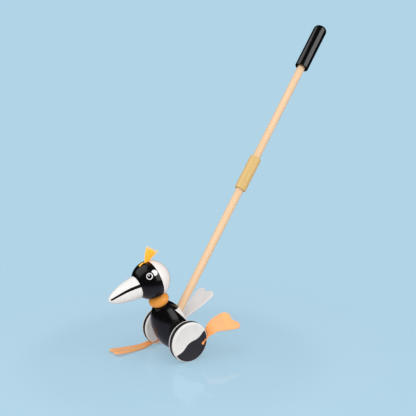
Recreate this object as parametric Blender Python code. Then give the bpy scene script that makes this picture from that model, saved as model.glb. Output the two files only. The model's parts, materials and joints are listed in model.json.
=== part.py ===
"""Push-along wooden magpie: a turned bird on a wheeled axle, steered by a raked push stick.

The bird faces -X, the axle lies along Y, and Z is up. Lengths are metres, angles are degrees.
The pieces hang on an empty called toy, whose place puts the origin under the middle of the whole toy.
"""

import math

import bmesh
import bpy
from mathutils import Matrix, Vector

# Wheels and axle
WHEEL_DIAMETER = 0.070
WHEEL_WIDTH = 0.016
WHEEL_SHOULDER = 0.0025
SPACER_LENGTH = 0.0090
TYRE_WIDTH = 0.008
TYRE_DEPTH = 0.0022
TYRE_PROUD = 0.0003
AXLE_DIAMETER = 0.008
AXLE_SOCKET = 0.010
SPACER_DIAMETER = 0.016

# Body, a turned egg that leans forward
BODY_DIAMETER = 0.0622
BODY_LENGTH = 0.0996
BODY_LEAN = 25.5
BODY_RISE = 0.0193

# Neck and head
NECK_FOOT = 0.0445
NECK_LEAN = 21.8
NECK_BEAD_DIAMETER = 0.0364
NECK_BEAD_HEIGHT = 0.0245
NECK_BEAD_RISE = 0.0292
NECK_DOWEL_DIAMETER = 0.010
NECK_DOWEL_FOOT = 0.005
NECK_DOWEL_IN_HEAD = 0.018
HEAD_DIAMETER = 0.0678
HEAD_RISE = 0.0707

# Beak and crest
BEAK_DIAMETER = 0.0394
BEAK_LENGTH = 0.0556
BEAK_DROOP = 17.5
BEAK_SWELL = 1.5
BEAK_FULLNESS = 0.54
BEAK_DOWEL_DIAMETER = 0.008
BEAK_DOWEL_DEPTH = 0.012
TUFT_ELEVATION = 71.5
TUFT_SOCKET = 0.008
TUFT_STRANDS = 5
TUFT_PITCH = 0.0008
TUFT_LENGTH = 0.026
TUFT_SWEEP = 0.95
TUFT_SPREAD = 0.55
TUFT_FLARE = 0.22

# Push stick
STICK_DIAMETER = 0.0144
STICK_RAKE = 32.66
STICK_AHEAD = 0.0146
STICK_FOOT = 0.034
SLEEVE_DIAMETER = 0.022
SLEEVE_LENGTH = 0.0684
SLEEVE_START = 0.2978
GRIP_DIAMETER = 0.0264
GRIP_LENGTH = 0.0948
GRIP_START = 0.571
GRIP_DOME = 0.0075
GRIP_SOCKET = 0.060
EDGE_ROUND = 0.0012

# Tail
TAIL_SLOPE = 37.2
TAIL_YAW = 1.3
TAIL_BACK = 0.0145
TAIL_UP = 0.0216
TAIL_LENGTH = 0.0760
TAIL_THICKNESS = 0.003
TAIL_ROOT_WIDTH = 0.018
TAIL_END_WIDTH = 0.0495
TAIL_SOCKET = 0.009
TAIL_NOTCH = 0.005
TAIL_CORNER = 0.0105

# Feet, soft webs held by a bead in a keyhole slot of each wheel
FOOT_THICKNESS = 0.003
FOOT_BEAD_DIAMETER = 0.0052
FOOT_BEAD_RADIUS = 0.0268
FOOT_SLOT_TURN = 16.4
FOOT_HINGE_OUT = 0.0026
FOOT_NECK_WIDTH = 0.0154
FOOT_NOTCH = 0.005
FOOT_CORNER = 0.012
FOOT_BEND = 0.020

# Where the lobes of a fan stand out, as a share of its half width, and how early each fan spreads
LOBE_MIDDLE = 0.5
TAIL_SPREAD = 0.6
FOOT_SPREAD = 0.65

# Clearances
FIT = 0.0003
RUNNING = 0.0004
HINGE_GAP = 0.0004
TYRE_END_GAP = 0.0006
CUT_PAST = 0.004

# Smoothness of the round pieces
WHEEL_STEPS = 60
ROUND_STEPS = 32
PIN_STEPS = 16
ARC_STEPS = 12
EDGE_STEPS = 3
MERGE = 0.00001

# Linear RGB colours of the finishes
BLACK_LACQUER = (0.008, 0.008, 0.010)
WHITE_LACQUER = (0.76, 0.75, 0.74)
ORANGE_LACQUER = (0.78, 0.26, 0.03)
ORANGE_RUBBER = (0.96, 0.42, 0.14)
CREST_YARN = (0.95, 0.48, 0.05)
TYRE_RUBBER = (0.012, 0.012, 0.013)
PALE_BEECH = (0.78, 0.56, 0.36)
YELLOW_BIRCH = (0.69, 0.49, 0.22)

# Each foot: its side, where its bead sits round the wheel, its length and width, and how the soft web lies
LEFT_FOOT = {
    "side": -1,
    "bead": -14.5,
    "turn": 1,
    "length": 0.0745,
    "end_width": 0.0405,
    "skew": 0.0085,
    "run": 0.0125,
    "lie": 5.0,
    "curl": 0.0,
    "roll": 44.0,
    "roll_length": 0.014,
}
RIGHT_FOOT = {
    "side": 1,
    "bead": -109.5,
    "turn": -1,
    "length": 0.0775,
    "end_width": 0.0335,
    "skew": 0.0,
    "run": 0.0060,
    "lie": 180.0,
    "curl": -7.0,
    "roll": 4.0,
    "roll_length": 0.060,
}

# Sizes worked out from the ones above
WHEEL_RADIUS = WHEEL_DIAMETER / 2
ROLLING_RADIUS = WHEEL_RADIUS + TYRE_PROUD
AXLE_HEIGHT = ROLLING_RADIUS * math.cos(math.pi / WHEEL_STEPS)
AXLE = Vector((0, 0, AXLE_HEIGHT))
TRACK = BODY_DIAMETER + 2 * (RUNNING + SPACER_LENGTH + FIT) + WHEEL_WIDTH
WHEEL_INNER = (TRACK - WHEEL_WIDTH) / 2
HEAD_RADIUS = HEAD_DIAMETER / 2
BEAK_SEAT = math.sqrt(HEAD_RADIUS ** 2 - (BEAK_DIAMETER / 2) ** 2)
STICK_RADIUS = STICK_DIAMETER / 2


def upright(lean):
    """Unit vector that leans forward from the vertical by this many degrees."""
    return Vector((-math.sin(math.radians(lean)), 0, math.cos(math.radians(lean))))


def placed(point, lean):
    """Matrix that puts a piece's own Z axis on the leaning direction at a point."""
    return Matrix.Translation(point) @ Matrix.Rotation(math.radians(-lean), 4, "Y")


def polar(radius, degrees):
    """Point in the XZ plane, measured from +X towards +Z."""
    angle = math.radians(degrees)
    return Vector((radius * math.cos(angle), 0, radius * math.sin(angle)))


BODY_CENTRE = AXLE + BODY_RISE * upright(BODY_LEAN)
NECK_START = AXLE + NECK_FOOT * upright(BODY_LEAN)
NECK_AXIS = upright(NECK_LEAN)
HEAD_CENTRE = NECK_START + HEAD_RISE * NECK_AXIS
BEAK_LEAN = 90 + BEAK_DROOP
STICK_LEAN = -STICK_RAKE
STICK_START = AXLE + Vector((-STICK_AHEAD, 0, 0))
TAIL_START = AXLE + Vector((TAIL_BACK, 0, TAIL_UP))
TAIL_PLACE = placed(TAIL_START, TAIL_SLOPE - 90) @ Matrix.Rotation(math.radians(-TAIL_YAW), 4, "X")


def finish(name, colour, roughness):
    """Principled material of one piece."""
    material = bpy.data.materials.new(name)
    material.use_nodes = True
    shader = material.node_tree.nodes["Principled BSDF"]
    shader.inputs["Base Color"].default_value = (*colour, 1)
    shader.inputs["Roughness"].default_value = roughness
    shader.inputs["Metallic"].default_value = 0
    return material


def empty(name, parent=None, location=(0, 0, 0)):
    """Carrier that groups the pieces of one body."""
    carrier = bpy.data.objects.new(name, None)
    carrier.location = location
    carrier.parent = parent
    bpy.context.collection.objects.link(carrier)
    return carrier


def piece(name, bm, parent, matrix=Matrix(), material=None):
    """Object made from a bmesh; without a material it is a hidden cutter."""
    bmesh.ops.recalc_face_normals(bm, faces=bm.faces)
    mesh = bpy.data.meshes.new(name)
    bm.to_mesh(mesh)
    bm.free()
    mesh.shade_smooth()
    mesh.set_sharp_from_angle(angle=math.radians(35))
    result = bpy.data.objects.new(name, mesh)
    result.parent = parent
    result.matrix_local = matrix
    bpy.context.collection.objects.link(result)
    if material:
        mesh.materials.append(material)
    else:
        result.hide_render = True
        result.display_type = "WIRE"
    return result


def cut(target, cutter):
    """Boolean difference that stays live on the piece."""
    modifier = target.modifiers.new(cutter.name, "BOOLEAN")
    modifier.operation = "DIFFERENCE"
    modifier.solver = "EXACT"
    modifier.object = cutter


def turned(profile, steps, closed=False):
    """Body turned about Z from (radius, height) points; a half step puts a flat facet square to X."""
    bm = bmesh.new()
    verts = [bm.verts.new((radius, 0, height)) for radius, height in profile]
    chain = list(zip(verts, verts[1:]))
    if closed:
        chain.append((verts[-1], verts[0]))
    edges = [bm.edges.new(pair) for pair in chain]
    bmesh.ops.spin(bm, geom=verts + edges, axis=(0, 0, 1), cent=(0, 0, 0), angle=2 * math.pi, steps=steps)
    bmesh.ops.remove_doubles(bm, verts=bm.verts, dist=MERGE)
    bmesh.ops.rotate(bm, verts=bm.verts, matrix=Matrix.Rotation(math.pi / steps, 3, "Z"))
    return bm


def rod(radius, low, high, steps=PIN_STEPS):
    """Plain cylinder along Z."""
    return turned([(0, high), (radius, high), (radius, low), (0, low)], steps)


def arc(centre, radii, start, end, steps):
    """Points of an ellipse arc in a turned profile, angles measured from the radius towards +Z."""
    points = []
    for step in range(steps + 1):
        angle = math.radians(start + (end - start) * step / steps)
        points.append((centre[0] + radii[0] * math.cos(angle), centre[1] + radii[1] * math.sin(angle)))
    return points


def egg(radius, half_length):
    """Profile of an ellipsoid, pole to pole."""
    rounded = arc((0, 0), (radius, half_length), 90, -90, 2 * ARC_STEPS)
    return [(0, half_length)] + rounded[1:-1] + [(0, -half_length)]


def extruded(outline, low, high):
    """Prism of an XZ outline between two Y planes."""
    bm = bmesh.new()
    face = bm.faces.new([bm.verts.new((x, low, z)) for x, z in outline])
    grown = bmesh.ops.extrude_face_region(bm, geom=[face])
    moved = [item for item in grown["geom"] if isinstance(item, bmesh.types.BMVert)]
    bmesh.ops.translate(bm, verts=moved, vec=(0, high - low, 0))
    return bm


def sheet(lines, thickness):
    """Thin closed solid about a grid of (point, normal) pairs."""
    bm = bmesh.new()
    layers = []
    for offset in (thickness / 2, -thickness / 2):
        layers.append([[bm.verts.new(point + offset * normal) for point, normal in line] for line in lines])
    rows, columns = len(lines), len(lines[0])
    for layer in layers:
        for row in range(rows - 1):
            for column in range(columns - 1):
                near, far = layer[row], layer[row + 1]
                bm.faces.new((near[column], near[column + 1], far[column + 1], far[column]))
    rim = [(row, 0) for row in range(rows)]
    rim += [(rows - 1, column) for column in range(1, columns)]
    rim += [(row, columns - 1) for row in range(rows - 2, -1, -1)]
    rim += [(0, column) for column in range(columns - 2, 0, -1)]
    upper, lower = layers
    for first, second in zip(rim, rim[1:] + rim[:1]):
        corners = (upper[first[0]][first[1]], upper[second[0]][second[1]])
        bm.faces.new((*corners, lower[second[0]][second[1]], lower[first[0]][first[1]]))
    return bm


def eased(value):
    """Smooth step from 0 to 1."""
    value = min(max(value, 0), 1)
    return value * value * (3 - 2 * value)


def place_across(column, columns):
    """Place of a column across a fan, from -1 to 1, with the columns closer together towards its sides."""
    return math.sin(math.pi / 2 * (2 * column / columns - 1))


def fan_length(across, length, notch, corner):
    """Length of a two-lobed fan at a place across it, from -1 to 1."""
    lobe = abs(across)
    valley = notch * (1 - eased(lobe / LOBE_MIDDLE))
    outside = max(0, (lobe - LOBE_MIDDLE) / (1 - LOBE_MIDDLE))
    return length - valley - corner * (1 - math.sqrt(1 - outside ** 2))


def make_wheel(name, side, foot, parent):
    """Turned disc with a tyre groove, a blind axle socket and a keyhole slot for the foot."""
    half = WHEEL_WIDTH / 2
    groove = TYRE_WIDTH / 2
    groove_radius = WHEEL_RADIUS - TYRE_DEPTH
    socket = AXLE_DIAMETER / 2 + FIT
    shoulder = (WHEEL_SHOULDER, WHEEL_SHOULDER)
    corner = WHEEL_RADIUS - WHEEL_SHOULDER
    profile = [(0, half)]
    profile += arc((corner, half - WHEEL_SHOULDER), shoulder, 90, 0, EDGE_STEPS)
    profile += [(WHEEL_RADIUS, groove), (groove_radius, groove)]
    profile += [(groove_radius, -groove), (WHEEL_RADIUS, -groove)]
    profile += arc((corner, WHEEL_SHOULDER - half), shoulder, 0, -90, EDGE_STEPS)
    profile += [(socket, -half), (socket, AXLE_SOCKET - half), (0, AXLE_SOCKET - half)]
    matrix = Matrix.Translation((0, side * TRACK / 2, 0)) @ Matrix.Rotation(-side * math.pi / 2, 4, "X")
    wheel = piece(name, turned(profile, WHEEL_STEPS), parent, matrix, finish(name, WHITE_LACQUER, 0.35))
    reach = WHEEL_WIDTH / 2 + CUT_PAST
    middle = side * TRACK / 2
    outline = keyhole(foot, FIT, foot["hinge_run"] + CUT_PAST)
    cut(wheel, piece(name + "_slot", extruded(outline, middle - reach, middle + reach), parent))
    return wheel


def make_tyre(name, side, foot, parent):
    """Rubber strip in the wheel's groove, with its two ends at the foot's slot."""
    half = TYRE_WIDTH / 2 - FIT
    inner = WHEEL_RADIUS - TYRE_DEPTH + FIT
    loop = [(ROLLING_RADIUS, half), (ROLLING_RADIUS, -half), (inner, -half), (inner, half)]
    matrix = Matrix.Translation((0, side * TRACK / 2, 0)) @ Matrix.Rotation(-side * math.pi / 2, 4, "X")
    tyre = piece(name, turned(loop, WHEEL_STEPS, closed=True), parent, matrix, finish(name, TYRE_RUBBER, 0.6))
    reach = TYRE_WIDTH / 2 + CUT_PAST
    middle = side * TRACK / 2
    outline = keyhole(foot, TYRE_END_GAP, foot["hinge_run"] + CUT_PAST)
    cut(tyre, piece(name + "_gap", extruded(outline, middle - reach, middle + reach), parent))
    return tyre


def lay_out_foot(foot):
    """Add the bead, the leg's direction and the hinge, measured from the axle, to a foot's own values."""
    bead = polar(FOOT_BEAD_RADIUS, foot["bead"])
    leave = polar(WHEEL_RADIUS, foot["bead"] + foot["turn"] * FOOT_SLOT_TURN)
    leg = leave - bead
    foot["bead_centre"] = bead
    foot["leg"] = leg.normalized()
    foot["hinge_run"] = leg.length + FOOT_HINGE_OUT
    foot["hinge"] = bead + foot["hinge_run"] * foot["leg"]
    foot["heading"] = math.degrees(math.atan2(leg.z, leg.x)) % 360


def keyhole(foot, gap, run):
    """XZ outline of the bead with its leg, grown by a gap, the leg ending at a run from the bead's centre."""
    radius = FOOT_BEAD_DIAMETER / 2 + gap
    half = FOOT_THICKNESS / 2 + gap
    along = foot["leg"]
    across = Vector((-along.z, 0, along.x))
    opening = math.asin(half / radius)
    points = []
    for step in range(ARC_STEPS + 1):
        angle = opening + (2 * math.pi - 2 * opening) * step / ARC_STEPS
        points.append(radius * (math.cos(angle) * along + math.sin(angle) * across))
    points += [run * along - half * across, run * along + half * across]
    return [(foot["bead_centre"].x + point.x, foot["bead_centre"].z + point.z) for point in points]


def make_foot_root(name, foot, parent):
    """Bead and leg of a foot, held in the wheel's slot up to the flex line."""
    middle = foot["side"] * TRACK / 2
    half = FOOT_NECK_WIDTH / 2
    run = foot["hinge_run"] - FOOT_THICKNESS / 2 - HINGE_GAP
    bm = extruded(keyhole(foot, 0, run), middle - half, middle + half)
    return piece(name, bm, parent, material=finish(name, ORANGE_RUBBER, 0.45))


def foot_line(foot, steps):
    """Centre line of a web from its flex line: (point, heading) pairs in the XZ plane."""
    turn = foot["lie"] - foot["heading"]
    bend_end = foot["run"] + FOOT_BEND
    point = Vector((0, 0, 0))
    stations = [(point.copy(), foot["heading"])]
    stride = foot["length"] / steps
    for step in range(steps):
        middle = (step + 0.5) * stride
        bent = min(max((middle - foot["run"]) / FOOT_BEND, 0), 1)
        curled = max((middle - bend_end) / (foot["length"] - bend_end), 0)
        heading = foot["heading"] + turn * bent + foot["curl"] * curled
        point = point + polar(stride, heading)
        stations.append((point.copy(), heading))
    return stations


def make_foot_web(name, foot, parent):
    """Webbed sole of a foot that spreads from the flex line to a two-lobed fan."""
    rows, columns = 14, 12
    fine = 10 * rows
    stations = foot_line(foot, fine)
    outward = Vector((0, foot["side"], 0))
    length = foot["length"]
    lines = []
    for row in range(rows + 1):
        line = []
        for column in range(columns + 1):
            across = place_across(column, columns)
            longest = fan_length(across, length - foot["skew"], FOOT_NOTCH, FOOT_CORNER)
            longest += foot["skew"] * across
            reach = row / rows * longest / length
            centre, heading = stations[round(reach * fine)]
            spread = eased(reach) ** FOOT_SPREAD
            width = FOOT_NECK_WIDTH + (foot["end_width"] - FOOT_NECK_WIDTH) * spread
            roll = math.radians(foot["roll"]) * eased(reach * length / foot["roll_length"])
            up = polar(1, heading + 90 * foot["turn"])
            sideways = outward * math.cos(roll) - up * math.sin(roll)
            normal = up * math.cos(roll) + outward * math.sin(roll)
            line.append((centre + sideways * across * width / 2, normal))
        lines.append(line)
    return piece(name, sheet(lines, FOOT_THICKNESS), parent, material=finish(name, ORANGE_RUBBER, 0.45))


def make_running_gear(toy):
    """Axle, spacers, wheels, tyres and feet, on a carrier that spins about the axle."""
    wheelset = empty("wheelset", toy, AXLE)
    along_y = Matrix.Rotation(math.pi / 2, 4, "X")
    half_axle = WHEEL_INNER + AXLE_SOCKET - FIT
    shaft = rod(AXLE_DIAMETER / 2, -half_axle, half_axle)
    piece("axle", shaft, wheelset, along_y, finish("axle", PALE_BEECH, 0.6))
    for word, foot in (("left", LEFT_FOOT), ("right", RIGHT_FOOT)):
        lay_out_foot(foot)
        side = foot["side"]
        make_wheel(word + "_wheel", side, foot, wheelset)
        make_tyre(word + "_tyre", side, foot, wheelset)
        make_spacer(word + "_spacer", side, wheelset)
        make_foot_root(word + "_foot_root", foot, wheelset)
        hinge = empty(word + "_foot_hinge", wheelset, foot["hinge"] + Vector((0, side * TRACK / 2, 0)))
        make_foot_web(word + "_foot_web", foot, hinge)
    return wheelset


def make_spacer(name, side, parent):
    """Wooden ring on the axle that keeps a wheel clear of the body."""
    low = BODY_DIAMETER / 2 + RUNNING
    high = WHEEL_INNER - FIT
    inner = AXLE_DIAMETER / 2 + FIT
    outer = SPACER_DIAMETER / 2
    loop = [(outer, high), (outer, low), (inner, low), (inner, high)]
    matrix = Matrix.Rotation(-side * math.pi / 2, 4, "X")
    return piece(name, turned(loop, ROUND_STEPS, closed=True), parent, matrix, finish(name, PALE_BEECH, 0.6))


def make_body(toy):
    """Turned egg with the axle bore, the neck hole, the stick socket and the tail slot."""
    shape = turned(egg(BODY_DIAMETER / 2, BODY_LENGTH / 2), ROUND_STEPS)
    body = piece("body", shape, toy, placed(BODY_CENTRE, BODY_LEAN), finish("body", BLACK_LACQUER, 0.15))
    bore = rod(AXLE_DIAMETER / 2 + RUNNING, -BODY_DIAMETER, BODY_DIAMETER)
    along_y = Matrix.Translation(AXLE) @ Matrix.Rotation(math.pi / 2, 4, "X")
    cut(body, piece("axle_bore", bore, toy, along_y))
    neck_hole = rod(NECK_DOWEL_DIAMETER / 2 + FIT, NECK_DOWEL_FOOT - FIT, HEAD_RISE)
    cut(body, piece("neck_hole", neck_hole, toy, placed(NECK_START, NECK_LEAN)))
    socket = rod(STICK_RADIUS + FIT, STICK_FOOT - FIT, SLEEVE_START)
    cut(body, piece("stick_socket", socket, toy, placed(STICK_START, STICK_LEAN)))
    slot_wide = TAIL_ROOT_WIDTH / 2 + FIT
    slot_high = TAIL_THICKNESS / 2 + FIT
    corners = [(-slot_high, -FIT), (slot_high, -FIT), (slot_high, TAIL_LENGTH), (-slot_high, TAIL_LENGTH)]
    slot = extruded(corners, -slot_wide, slot_wide)
    cut(body, piece("tail_slot", slot, toy, TAIL_PLACE))
    return body


def make_neck(toy):
    """Orange bead dished to sit between body and head, and the dowel that joins all three."""
    centre = NECK_START + NECK_BEAD_RISE * NECK_AXIS
    shape = turned(egg(NECK_BEAD_DIAMETER / 2, NECK_BEAD_HEIGHT / 2), ROUND_STEPS)
    bead = piece("neck_bead", shape, toy, placed(centre, NECK_LEAN), finish("neck_bead", ORANGE_LACQUER, 0.2))
    over_body = turned(egg(BODY_DIAMETER / 2 + FIT, BODY_LENGTH / 2 + FIT), ROUND_STEPS)
    cut(bead, piece("body_seat", over_body, toy, placed(BODY_CENTRE, BODY_LEAN)))
    over_head = turned(egg(HEAD_RADIUS + FIT, HEAD_RADIUS + FIT), ROUND_STEPS)
    cut(bead, piece("head_seat", over_head, toy, placed(HEAD_CENTRE, BEAK_LEAN)))
    hole = rod(NECK_DOWEL_DIAMETER / 2 + FIT, 0, HEAD_RISE)
    cut(bead, piece("bead_hole", hole, toy, placed(NECK_START, NECK_LEAN)))
    top = HEAD_RISE - HEAD_RADIUS + NECK_DOWEL_IN_HEAD
    dowel = rod(NECK_DOWEL_DIAMETER / 2, NECK_DOWEL_FOOT, top)
    piece("neck_dowel", dowel, toy, placed(NECK_START, NECK_LEAN), finish("neck_dowel", PALE_BEECH, 0.6))
    return bead


def make_head(toy):
    """Ball with a flat seat and a dowel hole for the beak, a neck hole below and a crest hole above."""
    hole = BEAK_DOWEL_DIAMETER / 2 + FIT
    depth = BEAK_SEAT - BEAK_DOWEL_DEPTH - FIT
    seat_angle = math.degrees(math.asin(BEAK_SEAT / HEAD_RADIUS))
    profile = [(0, depth), (hole, depth), (hole, BEAK_SEAT)]
    profile += arc((0, 0), (HEAD_RADIUS, HEAD_RADIUS), seat_angle, -90, 2 * ARC_STEPS)[:-1]
    profile.append((0, -HEAD_RADIUS))
    matrix = placed(HEAD_CENTRE, BEAK_LEAN)
    head = piece("head", turned(profile, ROUND_STEPS), toy, matrix, finish("head", BLACK_LACQUER, 0.15))
    neck_top = HEAD_RISE - HEAD_RADIUS + NECK_DOWEL_IN_HEAD + FIT
    neck_hole = rod(NECK_DOWEL_DIAMETER / 2 + FIT, 0, neck_top)
    cut(head, piece("head_neck_hole", neck_hole, toy, placed(NECK_START, NECK_LEAN)))
    crest_hole = rod(tuft_radius() + FIT, HEAD_RADIUS - TUFT_SOCKET - FIT, HEAD_DIAMETER)
    cut(head, piece("crest_hole", crest_hole, toy, placed(HEAD_CENTRE, 90 - TUFT_ELEVATION)))
    return head


def make_beak(toy):
    """Turned ogive glued on the head's flat, with its dowel."""
    radius = BEAK_DIAMETER / 2
    base = BEAK_SEAT + FIT
    tip = BEAK_SEAT + BEAK_LENGTH
    hole = BEAK_DOWEL_DIAMETER / 2 + FIT
    bottom = base + BEAK_DOWEL_DEPTH + FIT
    profile = [(0, tip)]
    for step in range(ARC_STEPS - 1, 0, -1):
        share = math.sin(math.pi / 2 * step / ARC_STEPS)
        profile.append((radius * (1 - share ** BEAK_SWELL) ** BEAK_FULLNESS, base + share * (tip - base)))
    profile += [(radius, base), (hole, base), (hole, bottom), (0, bottom)]
    matrix = placed(HEAD_CENTRE, BEAK_LEAN)
    beak = piece("beak", turned(profile, ROUND_STEPS), toy, matrix, finish("beak", WHITE_LACQUER, 0.25))
    dowel = rod(BEAK_DOWEL_DIAMETER / 2, BEAK_SEAT - BEAK_DOWEL_DEPTH, base + BEAK_DOWEL_DEPTH)
    piece("beak_dowel", dowel, toy, matrix, finish("beak_dowel", PALE_BEECH, 0.6))
    return beak


def tuft_radius():
    """Radius of the hole that takes the crest's square plug."""
    return TUFT_STRANDS * TUFT_PITCH / 2 * math.sqrt(2)


def make_tuft(toy):
    """Crest of tapered strands that sweep back, grown out of the top of a plug in the head."""
    bm = bmesh.new()
    half = TUFT_STRANDS * TUFT_PITCH / 2
    bmesh.ops.create_grid(bm, x_segments=TUFT_STRANDS, y_segments=TUFT_STRANDS, size=half)
    base = bmesh.ops.extrude_face_region(bm, geom=list(bm.faces))
    raised = [item for item in base["geom"] if isinstance(item, bmesh.types.BMVert)]
    bmesh.ops.translate(bm, verts=raised, vec=(0, 0, TUFT_SOCKET))
    strands = [face for face in bm.faces if face.calc_center_median().z > TUFT_SOCKET - MERGE]
    bmesh.ops.inset_individual(bm, faces=strands, thickness=TUFT_PITCH / 8)
    leans = []
    for strand in strands:
        middle = strand.calc_center_median()
        leans.append(Vector((TUFT_SWEEP + TUFT_SPREAD * middle.x / half, TUFT_FLARE * middle.y / half, 0)))
    for bend, share, width in ((0.5, 0.4, 0.9), (1.0, 0.35, 0.75), (1.3, 0.25, 0.4)):
        strands = bmesh.ops.extrude_discrete_faces(bm, faces=strands)["faces"]
        for strand, lean in zip(strands, leans):
            middle = strand.calc_center_median()
            step = (bend * lean + Vector((0, 0, 1))).normalized() * TUFT_LENGTH * share
            for vert in strand.verts:
                vert.co = middle + (vert.co - middle) * width + step
    matrix = placed(HEAD_CENTRE, 90 - TUFT_ELEVATION) @ Matrix.Translation((0, 0, HEAD_RADIUS - TUFT_SOCKET))
    return piece("head_tuft", bm, toy, matrix, finish("head_tuft", CREST_YARN, 0.8))


def make_stick(toy):
    """Two dowels end to end in a wooden sleeve, with a rounded grip on top."""
    matrix = placed(STICK_START, STICK_LEAN)
    joint = SLEEVE_START + SLEEVE_LENGTH / 2
    top = GRIP_START + GRIP_SOCKET
    lower = rod(STICK_RADIUS, STICK_FOOT, joint - FIT / 2, ROUND_STEPS)
    piece("lower_stick", lower, toy, matrix, finish("lower_stick", PALE_BEECH, 0.5))
    upper = rod(STICK_RADIUS, joint + FIT / 2, top, ROUND_STEPS)
    piece("upper_stick", upper, toy, matrix, finish("upper_stick", PALE_BEECH, 0.5))
    make_sleeve(toy, matrix)
    make_grip(toy, matrix, top)


def make_sleeve(toy, matrix):
    """Tube over the joint of the two dowels, with rounded ends."""
    radius = SLEEVE_DIAMETER / 2
    bore = STICK_RADIUS + FIT
    end = SLEEVE_START + SLEEVE_LENGTH
    rounding = (EDGE_ROUND, EDGE_ROUND)
    loop = arc((radius - EDGE_ROUND, end - EDGE_ROUND), rounding, 90, 0, EDGE_STEPS)
    loop += arc((radius - EDGE_ROUND, SLEEVE_START + EDGE_ROUND), rounding, 0, -90, EDGE_STEPS)
    loop += [(bore, SLEEVE_START), (bore, end)]
    sleeve = turned(loop, ROUND_STEPS, closed=True)
    return piece("stick_sleeve", sleeve, toy, matrix, finish("stick_sleeve", YELLOW_BIRCH, 0.5))


def make_grip(toy, matrix, socket_top):
    """Black domed handle with a blind socket for the stick."""
    radius = GRIP_DIAMETER / 2
    bore = STICK_RADIUS + FIT
    end = GRIP_START + GRIP_LENGTH
    flat = radius - GRIP_DOME
    rounding = (EDGE_ROUND, EDGE_ROUND)
    profile = [(0, end)]
    profile += arc((flat, end - GRIP_DOME), (GRIP_DOME, GRIP_DOME), 90, 0, 2 * EDGE_STEPS)
    profile += arc((radius - EDGE_ROUND, GRIP_START + EDGE_ROUND), rounding, 0, -90, EDGE_STEPS)
    profile += [(bore, GRIP_START), (bore, socket_top + FIT), (0, socket_top + FIT)]
    return piece("grip", turned(profile, ROUND_STEPS), toy, matrix, finish("grip", BLACK_LACQUER, 0.2))


def make_tail(toy):
    """Flat two-lobed fan let into a slot at the back of the body."""
    rows, columns = 10, 12
    lines = []
    for row in range(rows + 1):
        line = []
        for column in range(columns + 1):
            across = place_across(column, columns)
            height = row / rows * fan_length(across, TAIL_LENGTH, TAIL_NOTCH, TAIL_CORNER)
            spread = eased((height - TAIL_SOCKET) / (TAIL_LENGTH - TAIL_SOCKET)) ** TAIL_SPREAD
            width = TAIL_ROOT_WIDTH + (TAIL_END_WIDTH - TAIL_ROOT_WIDTH) * spread
            line.append((Vector((0, across * width / 2, height)), Vector((1, 0, 0))))
        lines.append(line)
    bm = sheet(lines, TAIL_THICKNESS)
    return piece("tail", bm, toy, TAIL_PLACE, finish("tail", WHITE_LACQUER, 0.4))


def centre_on_origin(toy):
    """Move the toy so that the origin lies under the middle of its outer box."""
    bpy.context.view_layer.update()
    depsgraph = bpy.context.evaluated_depsgraph_get()
    corners = []
    for candidate in bpy.data.objects:
        if candidate.type == "MESH" and not candidate.hide_render:
            shape = candidate.evaluated_get(depsgraph)
            corners += [candidate.matrix_world @ vert.co for vert in shape.data.vertices]
    low = [min(corner[axis] for corner in corners) for axis in range(3)]
    high = [max(corner[axis] for corner in corners) for axis in range(3)]
    toy.location = (-(low[0] + high[0]) / 2, -(low[1] + high[1]) / 2, -low[2])
    bpy.context.view_layer.update()
    print("toy moved by", [round(value, 6) for value in toy.location])
    print("toy size", [round(high[axis] - low[axis], 5) for axis in range(3)])


def main():
    for old in list(bpy.data.objects):
        bpy.data.objects.remove(old, do_unlink=True)
    toy = empty("toy")
    make_body(toy)
    make_neck(toy)
    make_head(toy)
    make_beak(toy)
    make_tuft(toy)
    make_tail(toy)
    make_stick(toy)
    make_running_gear(toy)
    centre_on_origin(toy)
    for carrier in ("wheelset", "left_foot_hinge", "right_foot_hinge"):
        print(carrier, [round(value, 6) for value in bpy.data.objects[carrier].matrix_world.translation])


if __name__ == "__main__":
    main()
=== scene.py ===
"""Looks of a wooden push-along magpie, built as an add-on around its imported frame.

The bird faces -X, the axle lies along Y and Z is up. Lengths are metres. Angles are degrees, except in the
properties and where a docstring says radians. Every finished piece sits at the origin with its place in its
mesh.
"""

import json
import math
import random
from functools import partialmethod

import bpy
from bpy.props import FloatProperty, FloatVectorProperty, IntProperty, PointerProperty
from mathutils import Matrix, Vector


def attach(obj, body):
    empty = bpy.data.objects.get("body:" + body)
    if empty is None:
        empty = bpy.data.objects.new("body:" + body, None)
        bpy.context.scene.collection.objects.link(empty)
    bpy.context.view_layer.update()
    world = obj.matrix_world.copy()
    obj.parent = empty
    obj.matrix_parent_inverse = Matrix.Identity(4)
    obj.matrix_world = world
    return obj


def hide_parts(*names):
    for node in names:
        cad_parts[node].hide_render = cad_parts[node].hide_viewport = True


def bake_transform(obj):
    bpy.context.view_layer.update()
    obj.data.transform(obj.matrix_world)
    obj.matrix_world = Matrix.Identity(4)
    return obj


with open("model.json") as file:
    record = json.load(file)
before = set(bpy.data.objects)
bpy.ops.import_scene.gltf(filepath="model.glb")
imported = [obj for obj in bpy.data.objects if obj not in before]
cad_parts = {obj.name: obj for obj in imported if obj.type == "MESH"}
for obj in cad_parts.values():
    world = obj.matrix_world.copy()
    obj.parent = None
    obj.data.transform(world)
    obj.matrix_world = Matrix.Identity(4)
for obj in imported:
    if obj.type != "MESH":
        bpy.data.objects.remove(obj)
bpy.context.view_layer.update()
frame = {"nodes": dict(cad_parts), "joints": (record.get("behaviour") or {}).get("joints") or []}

bl_info = {
    "name": "Push-along magpie",
    "version": (1, 0, 0),
    "blender": (4, 5, 0),
    "location": "View3D > Sidebar > Magpie",
    "description": "Models and finishes a wooden push-along magpie around its packed frame",
    "category": "Add Mesh",
}

JOINT_PLACES = {joint["name"]: Vector(joint["pos_m"]) for joint in frame["joints"]}
AXLE = JOINT_PLACES["axle_spin"]

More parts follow.
